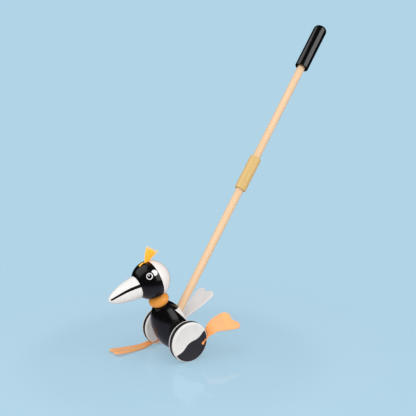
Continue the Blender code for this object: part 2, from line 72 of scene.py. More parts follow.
# Smoothness of the modelled pieces
LATHE_STEPS = 128
BALL_STEPS = 128
CUTTER_STEPS = 64
ROUND_STEPS = 8
LOBE_STEPS = 40
SIDE_STEPS = 60
SCORE_STEPS = 64
WEB_STATIONS = 800
MERGE = 0.000002
SHARP = math.radians(35)
STRAND_SHARP = math.radians(60)
SHEET_SHARP = math.radians(60)

# Clearances of the joinery
FIT = 0.0003
RUNNING = 0.0004
TYRE_END_GAP = 0.0006
CUT_PAST = 0.004

# Small roundings
DOWEL_CHAMFER = 0.0008
SPACER_ROUND = 0.0008
TYRE_ROUND = 0.0005
BEAK_ROUND = 0.0006
SHEET_ROUND = 0.0009
WHEEL_LIP = 0.0009

# Where the lobes of a fan are longest, from its middle at 0 to its edge at 1
LOBE_MIDDLE = 0.5

# Crest: seed of its random strands, and strands that stand up for each one that lies on the forehead
CREST_SEED = 7
PLUME_PER_LOCK = 20

# Lacquers: roughness, what smudges add to it and how strongly the surface mirrors
BLACK_GLOSS = (0.20, 0.06, 0.45)
GRIP_GLOSS = (0.16, 0.04, 0.9)
NECK_GLOSS = (0.20, 0.10, 0.5)
BEAK_SATIN = (0.34, 0.12, 0.25)
TAIL_SATIN = (0.42, 0.12, 0.3)

# Painted edges: softness and hand wobble
BROAD_EDGE = (0.00012, 0.0002)
SPOT_EDGE = (0.00014, 0.00012)
MOUTH_EDGE = (0.00014, 0.0003)
WAVE_EDGE = (0.00016, 0.0003)

# How much of the darker grain shows in the push stick and in the wood inside the toy
STICK_LINES = 0.5
INNER_LINES = 0.6

# Depth of every bump
BUMP_DEPTH = 0.0002

# Each foot: its side, where its bead sits round the wheel, its length and width, and how the soft web lies
FEET = {
    "left": {
        "side": -1, "bead": -14.5, "turn": 1, "length": 0.0745, "end_width": 0.0405, "skew": 0.0085,
        "run": 0.0125, "lie": 5.0, "curl": 0.0, "roll": 44.0, "roll_length": 0.014,
    },
    "right": {
        "side": 1, "bead": -109.5, "turn": -1, "length": 0.0775, "end_width": 0.0335, "skew": 0.0,
        "run": 0.0060, "lie": 180.0, "curl": -7.0, "roll": 4.0, "roll_length": 0.060,
    },
}

# Soft lights: place, width, watts and whether gloss mirrors them
LAMPS = {
    "left_softbox": ((-1.25, 0.80, 1.60), 2.0, 13, True),
    "right_softbox": ((0.85, -1.75, 1.20), 1.8, 17, True),
    "top_softbox": ((-0.20, -0.30, 2.10), 1.2, 4, False),
    "front_softbox": ((-1.40, -1.40, 0.50), 1.6, 16, False),
}
LAMP_AIM = Vector((-0.12, 0, 0.16))

# Floor: its size, how far it lies below the toy, and the colours that it bounces back and that gloss mirrors
FLOOR_WIDTH = 40
FLOOR_DROP = 0.0001
FLOOR_BOUNCE = (0.60, 0.60, 0.60)
MIRRORED_NEAR = (0.45, 0.47, 0.60)
MIRRORED_FAR = (0.01, 0.01, 0.01)

# Background as a soft fill and as gloss mirrors it
WORLD_FILL = (0.66, 0.65, 0.64)
WORLD_MIRRORED = (0.0, 0.0, 0.0)

# Camera that was fitted to the photograph, with its lens and sensor in millimetres
CAMERA_PLACE = (-0.616377, -0.863307, 0.412074)
CAMERA_TILT = 81.4700
CAMERA_TURN = -33.7440
CAMERA_LENS = 50
CAMERA_SENSOR = 36


def length(name, description, default):
    """Property that holds a size in metres."""
    return FloatProperty(
        name=name, description=description, default=default, min=0, unit="LENGTH", precision=5
    )


def angle(name, description, default):
    """Property that holds an angle in radians, given in degrees."""
    return FloatProperty(name=name, description=description, default=math.radians(default), subtype="ANGLE")


def number(name, description, default):
    """Property that holds a plain number."""
    return FloatProperty(name=name, description=description, default=default)


def colour(name, description, default):
    """Property that holds a linear RGB colour."""
    return FloatVectorProperty(
        name=name, description=description, default=default, size=3, min=0, max=1, subtype="COLOR"
    )


class MagpieSizes(bpy.types.PropertyGroup):
    """Sizes of the toy's pieces"""

    wheel_diameter: length("Wheel diameter", "Across the wooden disc", 0.070)
    wheel_width: length("Wheel width", "Thickness of the disc", 0.016)
    wheel_shoulder: length("Wheel shoulder", "Rounding of the disc's edges", 0.0025)
    wheel_dish: length("Wheel dish", "How far the face lies behind its rim", 0.0006)
    wheel_rim: length("Wheel rim", "Width of the raised rim of the face, with the shoulder", 0.0049)
    tyre_width: length("Tyre width", "Width of the groove in the tread", 0.008)
    tyre_depth: length("Tyre depth", "Depth of the groove in the tread", 0.0022)
    tyre_proud: length("Tyre proud", "How far the tyre stands out of the tread", 0.0003)
    axle_diameter: length("Axle diameter", "Thickness of the axle", 0.008)
    axle_socket: length("Axle socket", "How deep the axle sits in a wheel", 0.010)
    spacer_length: length("Spacer length", "Along each ring on the axle", 0.0090)
    spacer_diameter: length("Spacer diameter", "Outside of the rings on the axle", 0.016)
    body_diameter: length("Body diameter", "Across the turned egg", 0.0622)
    body_length: length("Body length", "Along the turned egg", 0.0996)
    body_lean: angle("Body lean", "Forward lean of the egg", 25.5)
    body_rise: length("Body rise", "From the axle to the middle of the egg", 0.0193)
    neck_foot: length("Neck foot", "From the axle to the start of the neck", 0.0445)
    neck_lean: angle("Neck lean", "Forward lean of the neck", 21.8)
    neck_bead_diameter: length("Neck bead diameter", "Across the orange bead", 0.0364)
    neck_bead_height: length("Neck bead height", "Along the orange bead", 0.0245)
    neck_bead_rise: length("Neck bead rise", "From the neck's start to the bead's middle", 0.0292)
    neck_dowel_diameter: length("Neck dowel diameter", "Thickness of the dowel in the neck", 0.010)
    neck_dowel_foot: length("Neck dowel foot", "From the neck's start to the dowel's end", 0.005)
    neck_dowel_in_head: length("Neck dowel in head", "How deep the dowel sits in the head", 0.018)
    head_diameter: length("Head diameter", "Across the ball", 0.0678)
    head_rise: length("Head rise", "From the neck's start to the middle of the ball", 0.0707)
    beak_diameter: length("Beak diameter", "Across the foot of the beak", 0.0394)
    beak_length: length("Beak length", "From the head to the tip", 0.0556)
    beak_droop: angle("Beak droop", "How far the beak points down", 17.5)
    beak_swell: number("Beak swell", "Power of the beak's sides", 1.5)
    beak_fullness: number("Beak fullness", "Power of the beak's tip", 0.54)
    beak_dowel_diameter: length("Beak dowel diameter", "Thickness of the dowel in the beak", 0.008)
    beak_dowel_depth: length("Beak dowel depth", "How deep the dowel sits on each side", 0.012)
    crest_elevation: angle("Crest elevation", "Where the crest stands on the head, from the front", 71.5)
    crest_length: length("Crest length", "Length of the longest strands", 0.0305)
    crest_hole: length("Crest hole", "Diameter of the hole for the crest", 0.0062)
    crest_socket: length("Crest socket", "How deep the strands sit in the head", 0.008)
    crest_strands: IntProperty(name="Crest strands", description="Strands in the crest", default=140, min=1)
    strand_thickness: length("Strand thickness", "Radius of one strand at its foot", 0.00044)
    stick_diameter: length("Stick diameter", "Thickness of the push stick", 0.0144)
    stick_rake: angle("Stick rake", "How far the stick leans back", 32.66)
    stick_ahead: length("Stick ahead", "How far its line passes in front of the axle", 0.0146)
    stick_foot: length("Stick foot", "Along that line to the end in the body", 0.034)
    sleeve_diameter: length("Sleeve diameter", "Outside of the coupling sleeve", 0.022)
    sleeve_length: length("Sleeve length", "Along the coupling sleeve", 0.0684)
    sleeve_start: length("Sleeve start", "Along the stick to the sleeve", 0.2978)
    grip_diameter: length("Grip diameter", "Thickness of the grip", 0.0264)
    grip_length: length("Grip length", "Along the grip", 0.0948)
    grip_start: length("Grip start", "Along the stick to the grip", 0.571)
    grip_dome: length("Grip dome", "Rounding of the grip's top", 0.0075)
    grip_socket: length("Grip socket", "How deep the stick sits in the grip", 0.060)
    edge_round: length("Edge round", "Rounding of the sleeve's and the grip's ends", 0.0012)
    tail_slope: angle("Tail slope", "How far the tail points up", 37.2)
    tail_yaw: angle("Tail yaw", "How far the tail points to the bird's right", 1.3)
    tail_back: length("Tail back", "From the axle back to the tail's start", 0.0145)
    tail_up: length("Tail up", "From the axle up to the tail's start", 0.0216)
    tail_length: length("Tail length", "Along the tail with its socket", 0.0760)
    tail_thickness: length("Tail thickness", "Thickness of the tail", 0.003)
    tail_root_width: length("Tail root width", "Width of the tail in its slot", 0.018)
    tail_end_width: length("Tail end width", "Width of the tail at its end", 0.0495)
    tail_socket: length("Tail socket", "How deep the tail sits in the body", 0.009)
    tail_notch: length("Tail notch", "Depth of the notch in the end", 0.005)
    tail_corner: length("Tail corner", "Rounding of the end's corners", 0.0105)
    tail_spread: number("Tail spread", "How early the tail widens", 0.6)
    foot_thickness: length("Foot thickness", "Thickness of a soft foot", 0.003)
    foot_bead_diameter: length("Foot bead diameter", "Thickness of the bead in the wheel", 0.0052)
    foot_bead_radius: length("Foot bead radius", "From the axle to the bead", 0.0268)
    foot_slot_turn: angle("Foot slot turn", "Turn round the wheel between bead and rim", 16.4)
    foot_hinge_out: length("Foot hinge out", "From the rim to the flex line", 0.0026)
    foot_bend: length("Foot bend", "Length over which the foot bends", 0.020)
    foot_neck_width: length("Foot neck width", "Width of a foot at the wheel", 0.0154)
    foot_notch: length("Foot notch", "Depth of the notch between the toes", 0.005)
    foot_corner: length("Foot corner", "Rounding of the toes", 0.012)
    foot_spread: number("Foot spread", "How early a foot widens", 0.65)


class MagpieColours(bpy.types.PropertyGroup):
    """Colours of the toy's finishes and of the stage"""

    black: colour("Black lacquer", "Bird's body, head and grip", (0.0034, 0.0030, 0.0036))
    white: colour("White lacquer", "Wheels, beak and painted patches", (0.82, 0.81, 0.80))
    cap: colour("Warm white lacquer", "Back of the head", (0.86, 0.82, 0.80))
    # The tail is white lacquer; this greyer, slightly bluer tone is painted shade
    tail: colour("Pale grey lacquer", "Tail", (0.75, 0.75, 0.765))
    charcoal: colour("Charcoal paint", "Wave on the wheels' faces", (0.024, 0.024, 0.031))
    orange: colour("Orange lacquer", "Bead of the neck", (0.88, 0.36, 0.06))
    web: colour("Orange rubber", "Soft feet", (0.98, 0.44, 0.18))
    web_blotch: colour("Yellow rubber", "Faint blotches of the soft feet", (0.98, 0.48, 0.17))
    web_root: colour("Deep orange rubber", "Soft feet at the wheels", (0.98, 0.36, 0.09))
    beech: colour("Pale wood", "Dowels of the push stick", (0.82, 0.58, 0.37))
    beech_dark: colour("Pale wood, late growth", "Darker lines in the dowels", (0.74, 0.49, 0.285))
    birch: colour("Yellow wood", "Coupling sleeve", (0.70, 0.49, 0.20))
    birch_dark: colour("Yellow wood, late growth", "Darker lines in the sleeve", (0.60, 0.39, 0.14))
    tread: colour("Black rubber", "Bands in the wheels' treads", (0.012, 0.012, 0.013))
    crest: colour("Crest", "Strands of the crest", (1.0, 0.60, 0.07))
    # Painted shade at the foot of the crest's strands
    crest_painted_shade: colour("Crest, shaded", "Foot of the strands", (0.98, 0.45, 0.025))
    backdrop: colour("Backdrop", "Far floor and background", (0.440, 0.658, 0.799))
    floor: colour("Floor paint", "Lit part of the floor", (0.425, 0.635, 0.770))


def sizes():
    """Sizes that the panel shows."""
    return bpy.context.scene.magpie_sizes


def colours():
    """Colours that the panel shows."""
    return bpy.context.scene.magpie_colours


# Places


def upright(lean):
    """Unit vector that leans forward from the vertical by this angle in radians."""
    return Vector((-math.sin(lean), 0, math.cos(lean)))


def placed(point, lean):
    """Place at a point with Z leaning forward from the vertical by this angle in radians."""
    return Matrix.Translation(point) @ Matrix.Rotation(-lean, 4, "Y")


def crosswise(point, side=-1):
    """Place at a point with Z across the toy, towards the bird's left at -1 or its right at 1."""
    return Matrix.Translation(point) @ Matrix.Rotation(-side * math.pi / 2, 4, "X")


def polar(radius, degrees):
    """Point in the XZ plane, measured from +X towards +Z."""
    turned = math.radians(degrees)
    return Vector((radius * math.cos(turned), 0, radius * math.sin(turned)))


def eased(value):
    """Smooth step from 0 to 1."""
    value = min(max(value, 0), 1)
    return value * value * (3 - 2 * value)


def body_place():
    """Place of the egg: its middle, with Z along the egg."""
    s = sizes()
    return placed(AXLE + s.body_rise * upright(s.body_lean), s.body_lean)


def neck_place():
    """Place of the neck: its start, with Z along the dowel."""
    s = sizes()
    return placed(AXLE + s.neck_foot * upright(s.body_lean), s.neck_lean)


def head_centre():
    """Middle of the ball."""
    return neck_place() @ Vector((0, 0, sizes().head_rise))


def beak_place():
    """Place of the beak: the middle of the head, with Z towards the tip."""
    return placed(head_centre(), math.pi / 2 + sizes().beak_droop)


def beak_seat():
    """From the middle of the head to the flat under the beak."""
    s = sizes()
    return math.sqrt((s.head_diameter / 2) ** 2 - (s.beak_diameter / 2) ** 2)


def crest_place():
    """Place of the crest: the middle of the head, with Z through the crest."""
    return placed(head_centre(), math.pi / 2 - sizes().crest_elevation)


def stick_place():
    """Place of the push stick: level with the axle, with Z along the stick."""
    s = sizes()
    return placed(AXLE + Vector((-s.stick_ahead, 0, 0)), -s.stick_rake)


def tail_place():
    """Place of the tail: its end in the body, with Z along the tail and X across its thickness."""
    s = sizes()
    straight = placed(AXLE + Vector((s.tail_back, 0, s.tail_up)), s.tail_slope - math.pi / 2)
    return straight @ Matrix.Rotation(-s.tail_yaw, 4, "X")


def track():
    """Between the middles of the two wheels."""
    s = sizes()
    return s.body_diameter + 2 * (RUNNING + s.spacer_length + FIT) + s.wheel_width


def wheel_middle(side):
    """Middle of a wheel."""
    return AXLE + Vector((0, side * track() / 2, 0))


# Modelling


def deselect():
    """Leave nothing selected."""
    if bpy.context.mode != "OBJECT":
        bpy.ops.object.mode_set(mode="OBJECT")
    bpy.ops.object.select_all(action="DESELECT")


def pick(piece):
    """Select one piece alone and make it active."""
    deselect()
    piece.select_set(True)
    bpy.context.view_layer.objects.active = piece


def settle(piece, name, place=Matrix()):
    """Name a piece and put its place into its mesh."""
    pick(piece)
    piece.name = name
    piece.data.name = name
    piece.matrix_world = place @ piece.matrix_world
    bpy.ops.object.transform_apply(location=True, rotation=True, scale=True)
    return piece


def apply_modifier(piece, kind, **settings):
    """Add a modifier, set it and apply it."""
    pick(piece)
    modifier = piece.modifiers.new(kind.title(), kind)
    for key, value in settings.items():
        setattr(modifier, key, value)
    bpy.ops.object.modifier_apply(modifier=modifier.name)


def smooth(piece, sharp=SHARP):
    """Smooth shading with edges sharper than this angle in radians kept."""
    pick(piece)
    bpy.ops.object.shade_smooth_by_angle(angle=sharp)


def smooth_flats(piece):
    """Smooth shading that leaves wide faces flat beside their rounded edges."""
    smooth(piece)
    apply_modifier(piece, "WEIGHTED_NORMAL", keep_sharp=True)


def arc(centre, radius, start, end, steps=ROUND_STEPS):
    """Points of a round corner in a turned profile, measured from the radius towards the height."""
    points = []
    for step in range(steps + 1):
        turned = math.radians(start + (end - start) * step / steps)
        points.append((centre[0] + radius * math.cos(turned), centre[1] + radius * math.sin(turned)))
    return points


def rounded_side(radius, low, high, rounding, steps=ROUND_STEPS):
    """Outside of a turned profile from the top down, with both corners rounded."""
    top = arc((radius - rounding, high - rounding), rounding, 90, 0, steps)
    return top + arc((radius - rounding, low + rounding), rounding, 0, -90, steps)


def turn(name, profile, place):
    """Piece turned on a lathe from (radius, height) points about its own Z axis."""
    deselect()
    bpy.ops.mesh.primitive_plane_add(size=1)
    piece = bpy.context.active_object
    bpy.ops.object.mode_set(mode="EDIT")
    bpy.ops.mesh.select_mode(type="VERT")
    bpy.ops.mesh.select_all(action="SELECT")
    bpy.ops.mesh.merge(type="CENTER")
    bpy.ops.transform.translate(value=(profile[0][0], 0, profile[0][1]))
    for (radius, height), (next_radius, next_height) in zip(profile, profile[1:]):
        step = (next_radius - radius, 0, next_height - height)
        bpy.ops.mesh.extrude_vertices_move(TRANSFORM_OT_translate={"value": step})
    bpy.ops.mesh.select_all(action="SELECT")
    bpy.ops.mesh.spin(steps=LATHE_STEPS, angle=2 * math.pi, center=(0, 0, 0), axis=(0, 0, 1))
    bpy.ops.mesh.select_all(action="SELECT")
    bpy.ops.mesh.remove_doubles(threshold=MERGE)
    bpy.ops.mesh.normals_make_consistent(inside=False)
    bpy.ops.object.mode_set(mode="OBJECT")
    return settle(piece, name, place)


def ring(name, side, inner, place):
    """Turned ring from its rounded outside and the radius of its bore."""
    low, high = side[-1][1], side[0][1]
    return turn(name, [*side, (inner, low), (inner, high), side[0]], place)


def ball(name, diameter, height, place):
    """Ball or egg with its poles on its own Z axis."""
    deselect()
    bpy.ops.mesh.primitive_uv_sphere_add(segments=BALL_STEPS, ring_count=BALL_STEPS // 2, radius=diameter / 2)
    piece = bpy.context.active_object
    bpy.ops.object.mode_set(mode="EDIT")
    bpy.ops.mesh.select_all(action="SELECT")
    bpy.ops.transform.resize(value=(1, 1, height / diameter))
    bpy.ops.object.mode_set(mode="OBJECT")
    return settle(piece, name, place)


def drill_bit(diameter, low, high, place):
    """Round cutter along the place's Z axis."""
    deselect()
    middle = (0, 0, (low + high) / 2)
    bpy.ops.mesh.primitive_cylinder_add(
        vertices=CUTTER_STEPS, radius=diameter / 2, depth=high - low, location=middle
    )
    return settle(bpy.context.active_object, "drill_bit", place)


def block(size, middle, place):
    """Square cutter about a point of a place."""
    deselect()
    bpy.ops.mesh.primitive_cube_add(size=1, location=middle, scale=size)
    return settle(bpy.context.active_object, "block", place)


def combine(piece, other, operation):
    """Boolean with another object, which is used up."""
    apply_modifier(piece, "BOOLEAN", operation=operation, solver="EXACT", object=other)
    mesh = other.data
    bpy.data.objects.remove(other)
    bpy.data.meshes.remove(mesh)


def cut(piece, *cutters):
    """Take the cutters out of a piece one by one."""
    for cutter in cutters:
        combine(piece, cutter, "DIFFERENCE")


def fan_length(across, longest, notch, corner):
    """Length of a two-lobed fan at a place across it, from -1 to 1."""
    lobe = abs(across)
    valley = notch * (1 - eased(lobe / LOBE_MIDDLE))
    outside = max(0, (lobe - LOBE_MIDDLE) / (1 - LOBE_MIDDLE))
    return longest - valley - corner * (1 - math.sqrt(1 - outside ** 2))


def fan_outline(start, half_width, longest):
    """Outline of a two-lobed fan as (along, across) points: up one side, round the lobes, down the other."""
    edge = [math.sin(math.pi / 2 * (1 - step / LOBE_STEPS)) for step in range(2 * LOBE_STEPS + 1)]
    sides = []
    for across in (1, -1):
        end = longest(across)
        stations = [start + (end - start) * step / SIDE_STEPS for step in range(SIDE_STEPS)]
        sides.append([(along, across * half_width(along)) for along in stations])
    lobes = [(longest(across), across * half_width(longest(across))) for across in edge]
    return sides[0] + lobes + sides[1][::-1]


def sheet(name, outline, thickness, bend, cuts=()):
    """Sheet cut to an outline, given its thickness and rounded edges, scored across and bent into place."""
    deselect()
    bpy.ops.mesh.primitive_circle_add(vertices=len(outline), fill_type="NGON")
    piece = bpy.context.active_object
    for vert, (along, across) in zip(piece.data.vertices, outline):
        vert.co = (along, across, 0)
    apply_modifier(piece, "SOLIDIFY", thickness=thickness, offset=0)
    apply_modifier(
        piece, "BEVEL", width=SHEET_ROUND, segments=3, limit_method="ANGLE", angle_limit=SHEET_SHARP
    )
    bpy.ops.object.mode_set(mode="EDIT")
    for along in cuts:
        bpy.ops.mesh.select_all(action="SELECT")
        bpy.ops.mesh.bisect(plane_co=(along, 0, 0), plane_no=(1, 0, 0))
    bpy.ops.object.mode_set(mode="OBJECT")
    for vert in piece.data.vertices:
        vert.co = bend(*vert.co)
    bpy.ops.object.mode_set(mode="EDIT")
    bpy.ops.mesh.select_all(action="SELECT")
    bpy.ops.mesh.normals_make_consistent(inside=False)
    bpy.ops.object.mode_set(mode="OBJECT")
    return settle(piece, name)


def dress(piece, material, slot, body, *nodes):
    """Give a piece its material, the nodes it stands for and the body it rides on; its record slot is not
    used.
    """
    piece.data.materials.clear()
    piece.data.materials.append(material)
    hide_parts(*nodes)
    if body:
        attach(piece, body)


# Shader nodes


def feed(sockets, values):
    """Link sockets to what nodes put out, or set them to plain values and opaque colours."""
    for key, value in values.items():
        socket = sockets[key]
        if isinstance(value, Value):
            socket.id_data.links.new(value.socket, socket)
        else:
            socket.default_value = (*value, 1.0) if socket.type == "RGBA" else value


def add(tree, kind, inputs=None, **settings):
    """New node with its settings and its inputs by name or number."""
    made = tree.nodes.new(kind)
    for key, value in settings.items():
        setattr(made, key, value)
    feed(made.inputs, inputs or {})
    return made


def outputs(node):
    """What a node puts out, by name."""
    return {socket.name: Value(socket) for socket in node.outputs}


class Value:
    """What a shader node puts out, with the nodes that work on it as operators and methods"""

    def __init__(self, socket):
        self.socket = socket

    def through(self, kind, inputs, output=0, **settings):
        """Output of a new node in the same tree."""
        return Value(add(self.socket.id_data, kind, inputs, **settings).outputs[output])

    def calc(self, operation, *others, clamp=False):
        """Result of a Math node."""
        inputs = dict(enumerate((self, *others)))
        return self.through("ShaderNodeMath", inputs, operation=operation, use_clamp=clamp)

    __add__ = partialmethod(calc, "ADD")
    __sub__ = partialmethod(calc, "SUBTRACT")
    __mul__ = partialmethod(calc, "MULTIPLY")
    __truediv__ = partialmethod(calc, "DIVIDE")
    __neg__ = partialmethod(calc, "MULTIPLY", -1.0)
    max = partialmethod(calc, "MAXIMUM")

    def ramp(self, low, high, to_low=0.0, to_high=1.0):
        """Smooth step between two bounds."""
        inputs = {"Value": self, "From Min": low, "From Max": high, "To Min": to_low, "To Max": to_high}
        return self.through("ShaderNodeMapRange", inputs, "Result", interpolation_type="SMOOTHSTEP")

    def mix(self, under, over):
        """One colour laid over another where this mask is 1."""
        return self.through("ShaderNodeMix", {0: self, 6: under, 7: over}, 2, data_type="RGBA")

    def vector(self, operation, *others):
        """Result of a Vector Math node."""
        output = "Value" if operation in ("DOT_PRODUCT", "DISTANCE", "LENGTH") else "Vector"
        inputs = dict(enumerate((self, *others)))
        return self.through("ShaderNodeVectorMath", inputs, output, operation=operation)

    def noise(self, scale, detail=2.0, roughness=0.5):
        """Noise about 0.5 at these coordinates."""
        inputs = {"Vector": self, "Scale": scale, "Detail": detail, "Roughness": roughness}
        return self.through("ShaderNodeTexNoise", inputs, "Fac")

    def measured_in(self, place):
        """These coordinates in a place's own axes."""
        back = place.inverted()
        inputs = {"Vector": self, "Location": back.translation, "Rotation": back.to_euler()}
        return self.through("ShaderNodeMapping", inputs, "Vector")

    def split(self):
        """X, Y and Z of a vector."""
        return outputs(add(self.socket.id_data, "ShaderNodeSeparateXYZ", {0: self})).values()


def new_group(name, takes, gives):
    """Shader group with named sockets: its tree, the values it takes and the sockets for what it gives."""
    tree = bpy.data.node_groups.new(name, "ShaderNodeTree")
    for way, sockets in (("INPUT", takes), ("OUTPUT", gives)):
        for label, kind in sockets.items():
            tree.interface.new_socket(label, in_out=way, socket_type="NodeSocket" + kind)
    return tree, outputs(add(tree, "NodeGroupInput")), add(tree, "NodeGroupOutput").inputs


def shared(build):
    """Shader group that is built when it is first asked for and found again after that."""
    name = build.__name__

    def group():
        return bpy.data.node_groups.get(name) or build(name)

    return group


@shared
def lacquer_film(name):
    """Sprayed lacquer: fine orange peel, handling smudges and a faint uneven tone."""
    tree, taken, given = new_group(
        name,
        {"Vector": "Vector", "Gloss": "Float", "Smudge": "Float"},
        {"Roughness": "Float", "Height": "Float", "Tone": "Float"},
    )
    place = taken["Vector"]
    smudge = place.noise(55, 4, 0.6).ramp(0.48, 0.72)
    peel = place.noise(620, 1)
    speck = place.noise(1500, 0).ramp(0.74, 0.8)
    speck_height = 0.6
    feed(given, {
        "Roughness": smudge * taken["Smudge"] + taken["Gloss"],
        "Height": speck * speck_height + peel,
        "Tone": place.noise(28, 3, 0.55),
    })
    return tree


@shared
def paint_edge(name):
    """Edge of a painted shape: 1 inside, where the distance is below zero, with a slight hand wobble."""
    tree, taken, given = new_group(
        name,
        {"Vector": "Vector", "Distance": "Float", "Soft": "Float", "Wobble": "Float"},
        {"Mask": "Float"},
    )
    waver = taken["Vector"].noise(330, 1) - 0.5
    distance = waver * taken["Wobble"] + taken["Distance"]
    feed(given, {"Mask": (distance / taken["Soft"]).ramp(1.0, -1.0)})
    return tree


@shared
def wood_grain(name):
    """Straight varnished grain along Z: growth lines, fibres and short ray flecks."""
    tree, taken, given = new_group(
        name,
        {"Vector": "Vector", "Pale": "Color", "Dark": "Color", "Lines": "Float"},
        {"Color": "Color", "Roughness": "Float", "Height": "Float"},
    )

    def drawn_out(stretch):
        return taken["Vector"].vector("MULTIPLY", (1.0, 1.0, stretch))

    fibre = drawn_out(0.012).noise(1400)
    growth = drawn_out(0.020).noise(230)
    fleck = drawn_out(0.10).noise(900, 0).ramp(0.70, 0.80)
    fibre_share, growth_share, fleck_share, fleck_depth = 0.25, 0.95, 0.06, 0.3
    lines = fibre * fibre_share + growth * growth_share
    toned = (lines.ramp(0.42, 0.82) * taken["Lines"]).mix(taken["Pale"], taken["Dark"])
    feed(given, {
        "Color": (fleck * fleck_share).mix(toned, taken["Dark"]),
        "Roughness": fibre.ramp(0.3, 0.7, 0.42, 0.50),
        "Height": fibre - fleck * fleck_depth,
    })
    return tree


@shared
def rubber_skin(name):
    """Moulded rubber: a fine matt grain, faint flow blotches and rubbed spots."""
    tree, taken, given = new_group(
        name,
        {"Vector": "Vector", "Matt": "Float"},
        {"Roughness": "Float", "Height": "Float", "Blotch": "Float"},
    )
    place = taken["Vector"]
    rubbed_share = 0.16
    feed(given, {
        "Roughness": place.noise(90, 3, 0.6) * rubbed_share + taken["Matt"],
        "Height": place.noise(1900, 2, 0.6),
        "Blotch": place.noise(40, 3, 0.5),
    })
    return tree


# Finishes


class Finish:
    """New material with its Principled shader and the piece's Object coordinates"""

    def __init__(self, name):
        self.material = bpy.data.materials.new(name)
        self.material.use_nodes = True
        self.tree = self.material.node_tree
        self.shader = self.tree.nodes["Principled BSDF"]
        self.place = outputs(add(self.tree, "ShaderNodeTexCoord"))["Object"]

    def set(self, values):
        """Set or link inputs of the shader."""
        feed(self.shader.inputs, values)

    def group(self, tree, values):
        """Outputs of a shared group with its own values, at Object coordinates unless they say otherwise."""
        return outputs(add(self.tree, "ShaderNodeGroup", {"Vector": self.place, **values}, node_tree=tree))

    def coat(self, base, roughness, height, strength, others=None):
        """Material with a base colour, a roughness, a bump from a height and other inputs of the shader."""
        inputs = {"Height": height, "Strength": strength, "Distance": BUMP_DEPTH}
        normal = height.through("ShaderNodeBump", inputs, "Normal")
        self.set({"Base Color": base, "Roughness": roughness, "Normal": normal, **(others or {})})
        return self.material

    def painted(self, distance, edge=BROAD_EDGE):
        """Mask of a painted shape from the distance to its edge."""
        soft, wobble = edge
        return self.group(paint_edge(), {"Distance": distance, "Soft": soft, "Wobble": wobble})["Mask"]

    def lacquer(self, base, gloss, smudge, shine):
        """Material with lacquer on a base colour: tone, roughness, peel and how strongly it mirrors."""
        film = self.group(lacquer_film(), {"Gloss": gloss, "Smudge": smudge})
        shade = film["Tone"].ramp(0.3, 0.7, 0.93, 1.0)
        toned = shade.through("ShaderNodeVectorMath", {0: base, "Scale": shade}, "Vector", operation="SCALE")
        return self.coat(toned, film["Roughness"], film["Height"], 0.02, {"Specular IOR Level": shine})


def timber(name, wood, lines, heart):
    """Varnished wood with its grain along the Z axis of the heart's place."""
    c = colours()
    finish = Finish(name)
    grain = finish.group(wood_grain(), {
        "Vector": finish.place.measured_in(heart),
        "Pale": getattr(c, wood),
        "Dark": getattr(c, wood + "_dark"),
        "Lines": lines,
    })
    shine = {"Specular IOR Level": 0.3}
    return finish.coat(grain["Color"], grain["Roughness"], grain["Height"], 0.01, shine)


def body_finish():
    """Black lacquer with the white patch over the back, an oval cut off at its top."""
    c = colours()
    finish = Finish("black_body_lacquer")
    middle, half_length, half_width, top, corner = 0.016, 0.034, 0.0232, 0.0503, 0.001
    backwards, sideways, along = finish.place.measured_in(body_place()).split()
    share_along = (along - middle) / half_length
    share_across = sideways / half_width
    reach = (share_along * share_along + share_across * share_across).calc("SQRT")
    oval = (reach - 1.0) * half_width
    _, _, height = finish.place.split()
    patch = oval.calc("SMOOTH_MAX", height - (AXLE.z + top), corner)
    base = finish.painted(patch.max(-backwards)).mix(c.black, c.white)
    return finish.lacquer(base, *BLACK_GLOSS)


def on_head(azimuth, elevation):
    """Point of the ball on the bird's right side, from the front towards the side and up."""
    a, e = math.radians(azimuth), math.radians(elevation)
    radius = sizes().head_diameter / 2
    return radius * Vector((-math.cos(e) * math.cos(a), math.cos(e) * math.sin(a), math.sin(e)))


def head_finish():
    """Black lacquer with a white back of the head, painted eyes and a white patch behind each eye."""
    c = colours()
    finish = Finish("black_head_lacquer")
    cap_start = 0.0057
    from_middle = finish.place.vector("SUBTRACT", head_centre())
    beak_way = beak_place().to_3x3() @ Vector((0, 0, 1))
    cap = from_middle.vector("DOT_PRODUCT", beak_way) + cap_start
    x, y, z = from_middle.split()
    one_side = x.through("ShaderNodeCombineXYZ", {"X": x, "Y": y.calc("ABSOLUTE"), "Z": z}, "Vector")

    def disc(azimuth, elevation, radius):
        return one_side.vector("DISTANCE", on_head(azimuth, elevation)) - radius

    eye_gap = disc(58.9, 24.9, 0.0078)
    patch = disc(76.0, 34.6, 0.0054).max(-eye_gap)
    eye = disc(58.9, 24.9, 0.0056)
    pupil = disc(58.6, 24.5, 0.0041)
    glint = disc(56.8, 26.6, 0.0011)
    base = finish.painted(cap).mix(c.black, c.cap)
    for spot, paint in ((patch, c.white), (eye, c.white), (pupil, c.black), (glint, c.white)):
        base = finish.painted(spot, SPOT_EDGE).mix(base, paint)
    return finish.lacquer(base, *BLACK_GLOSS)


def beak_finish():
    """White lacquer with a black mouth line that widens from the tip to the head on both sides."""
    c = colours()
    s = sizes()
    finish = Finish("white_beak_lacquer")
    line_rise, line_fall, line_top, line_end = 0.0076, 0.0130, 0.28, 0.95
    line_half, line_taper = 0.0026, 0.0013
    up, _, along = finish.place.measured_in(beak_place()).split()
    share = (along - beak_seat()) / s.beak_length
    off_top = share - line_top
    off_line = (up - line_rise + off_top * off_top * line_fall).calc("ABSOLUTE")
    line = off_line + share * line_taper - line_half
    past_end = (share - line_end) * s.beak_length
    base = finish.painted(line.max(past_end), MOUTH_EDGE).mix(c.white, c.black)
    return finish.lacquer(base, *BEAK_SATIN)


def from_axle_line(place):
    """Distance of coordinates from the line of the axle."""
    return place.vector("SUBTRACT", AXLE).vector("MULTIPLY", (1.0, 0.0, 1.0)).vector("LENGTH")


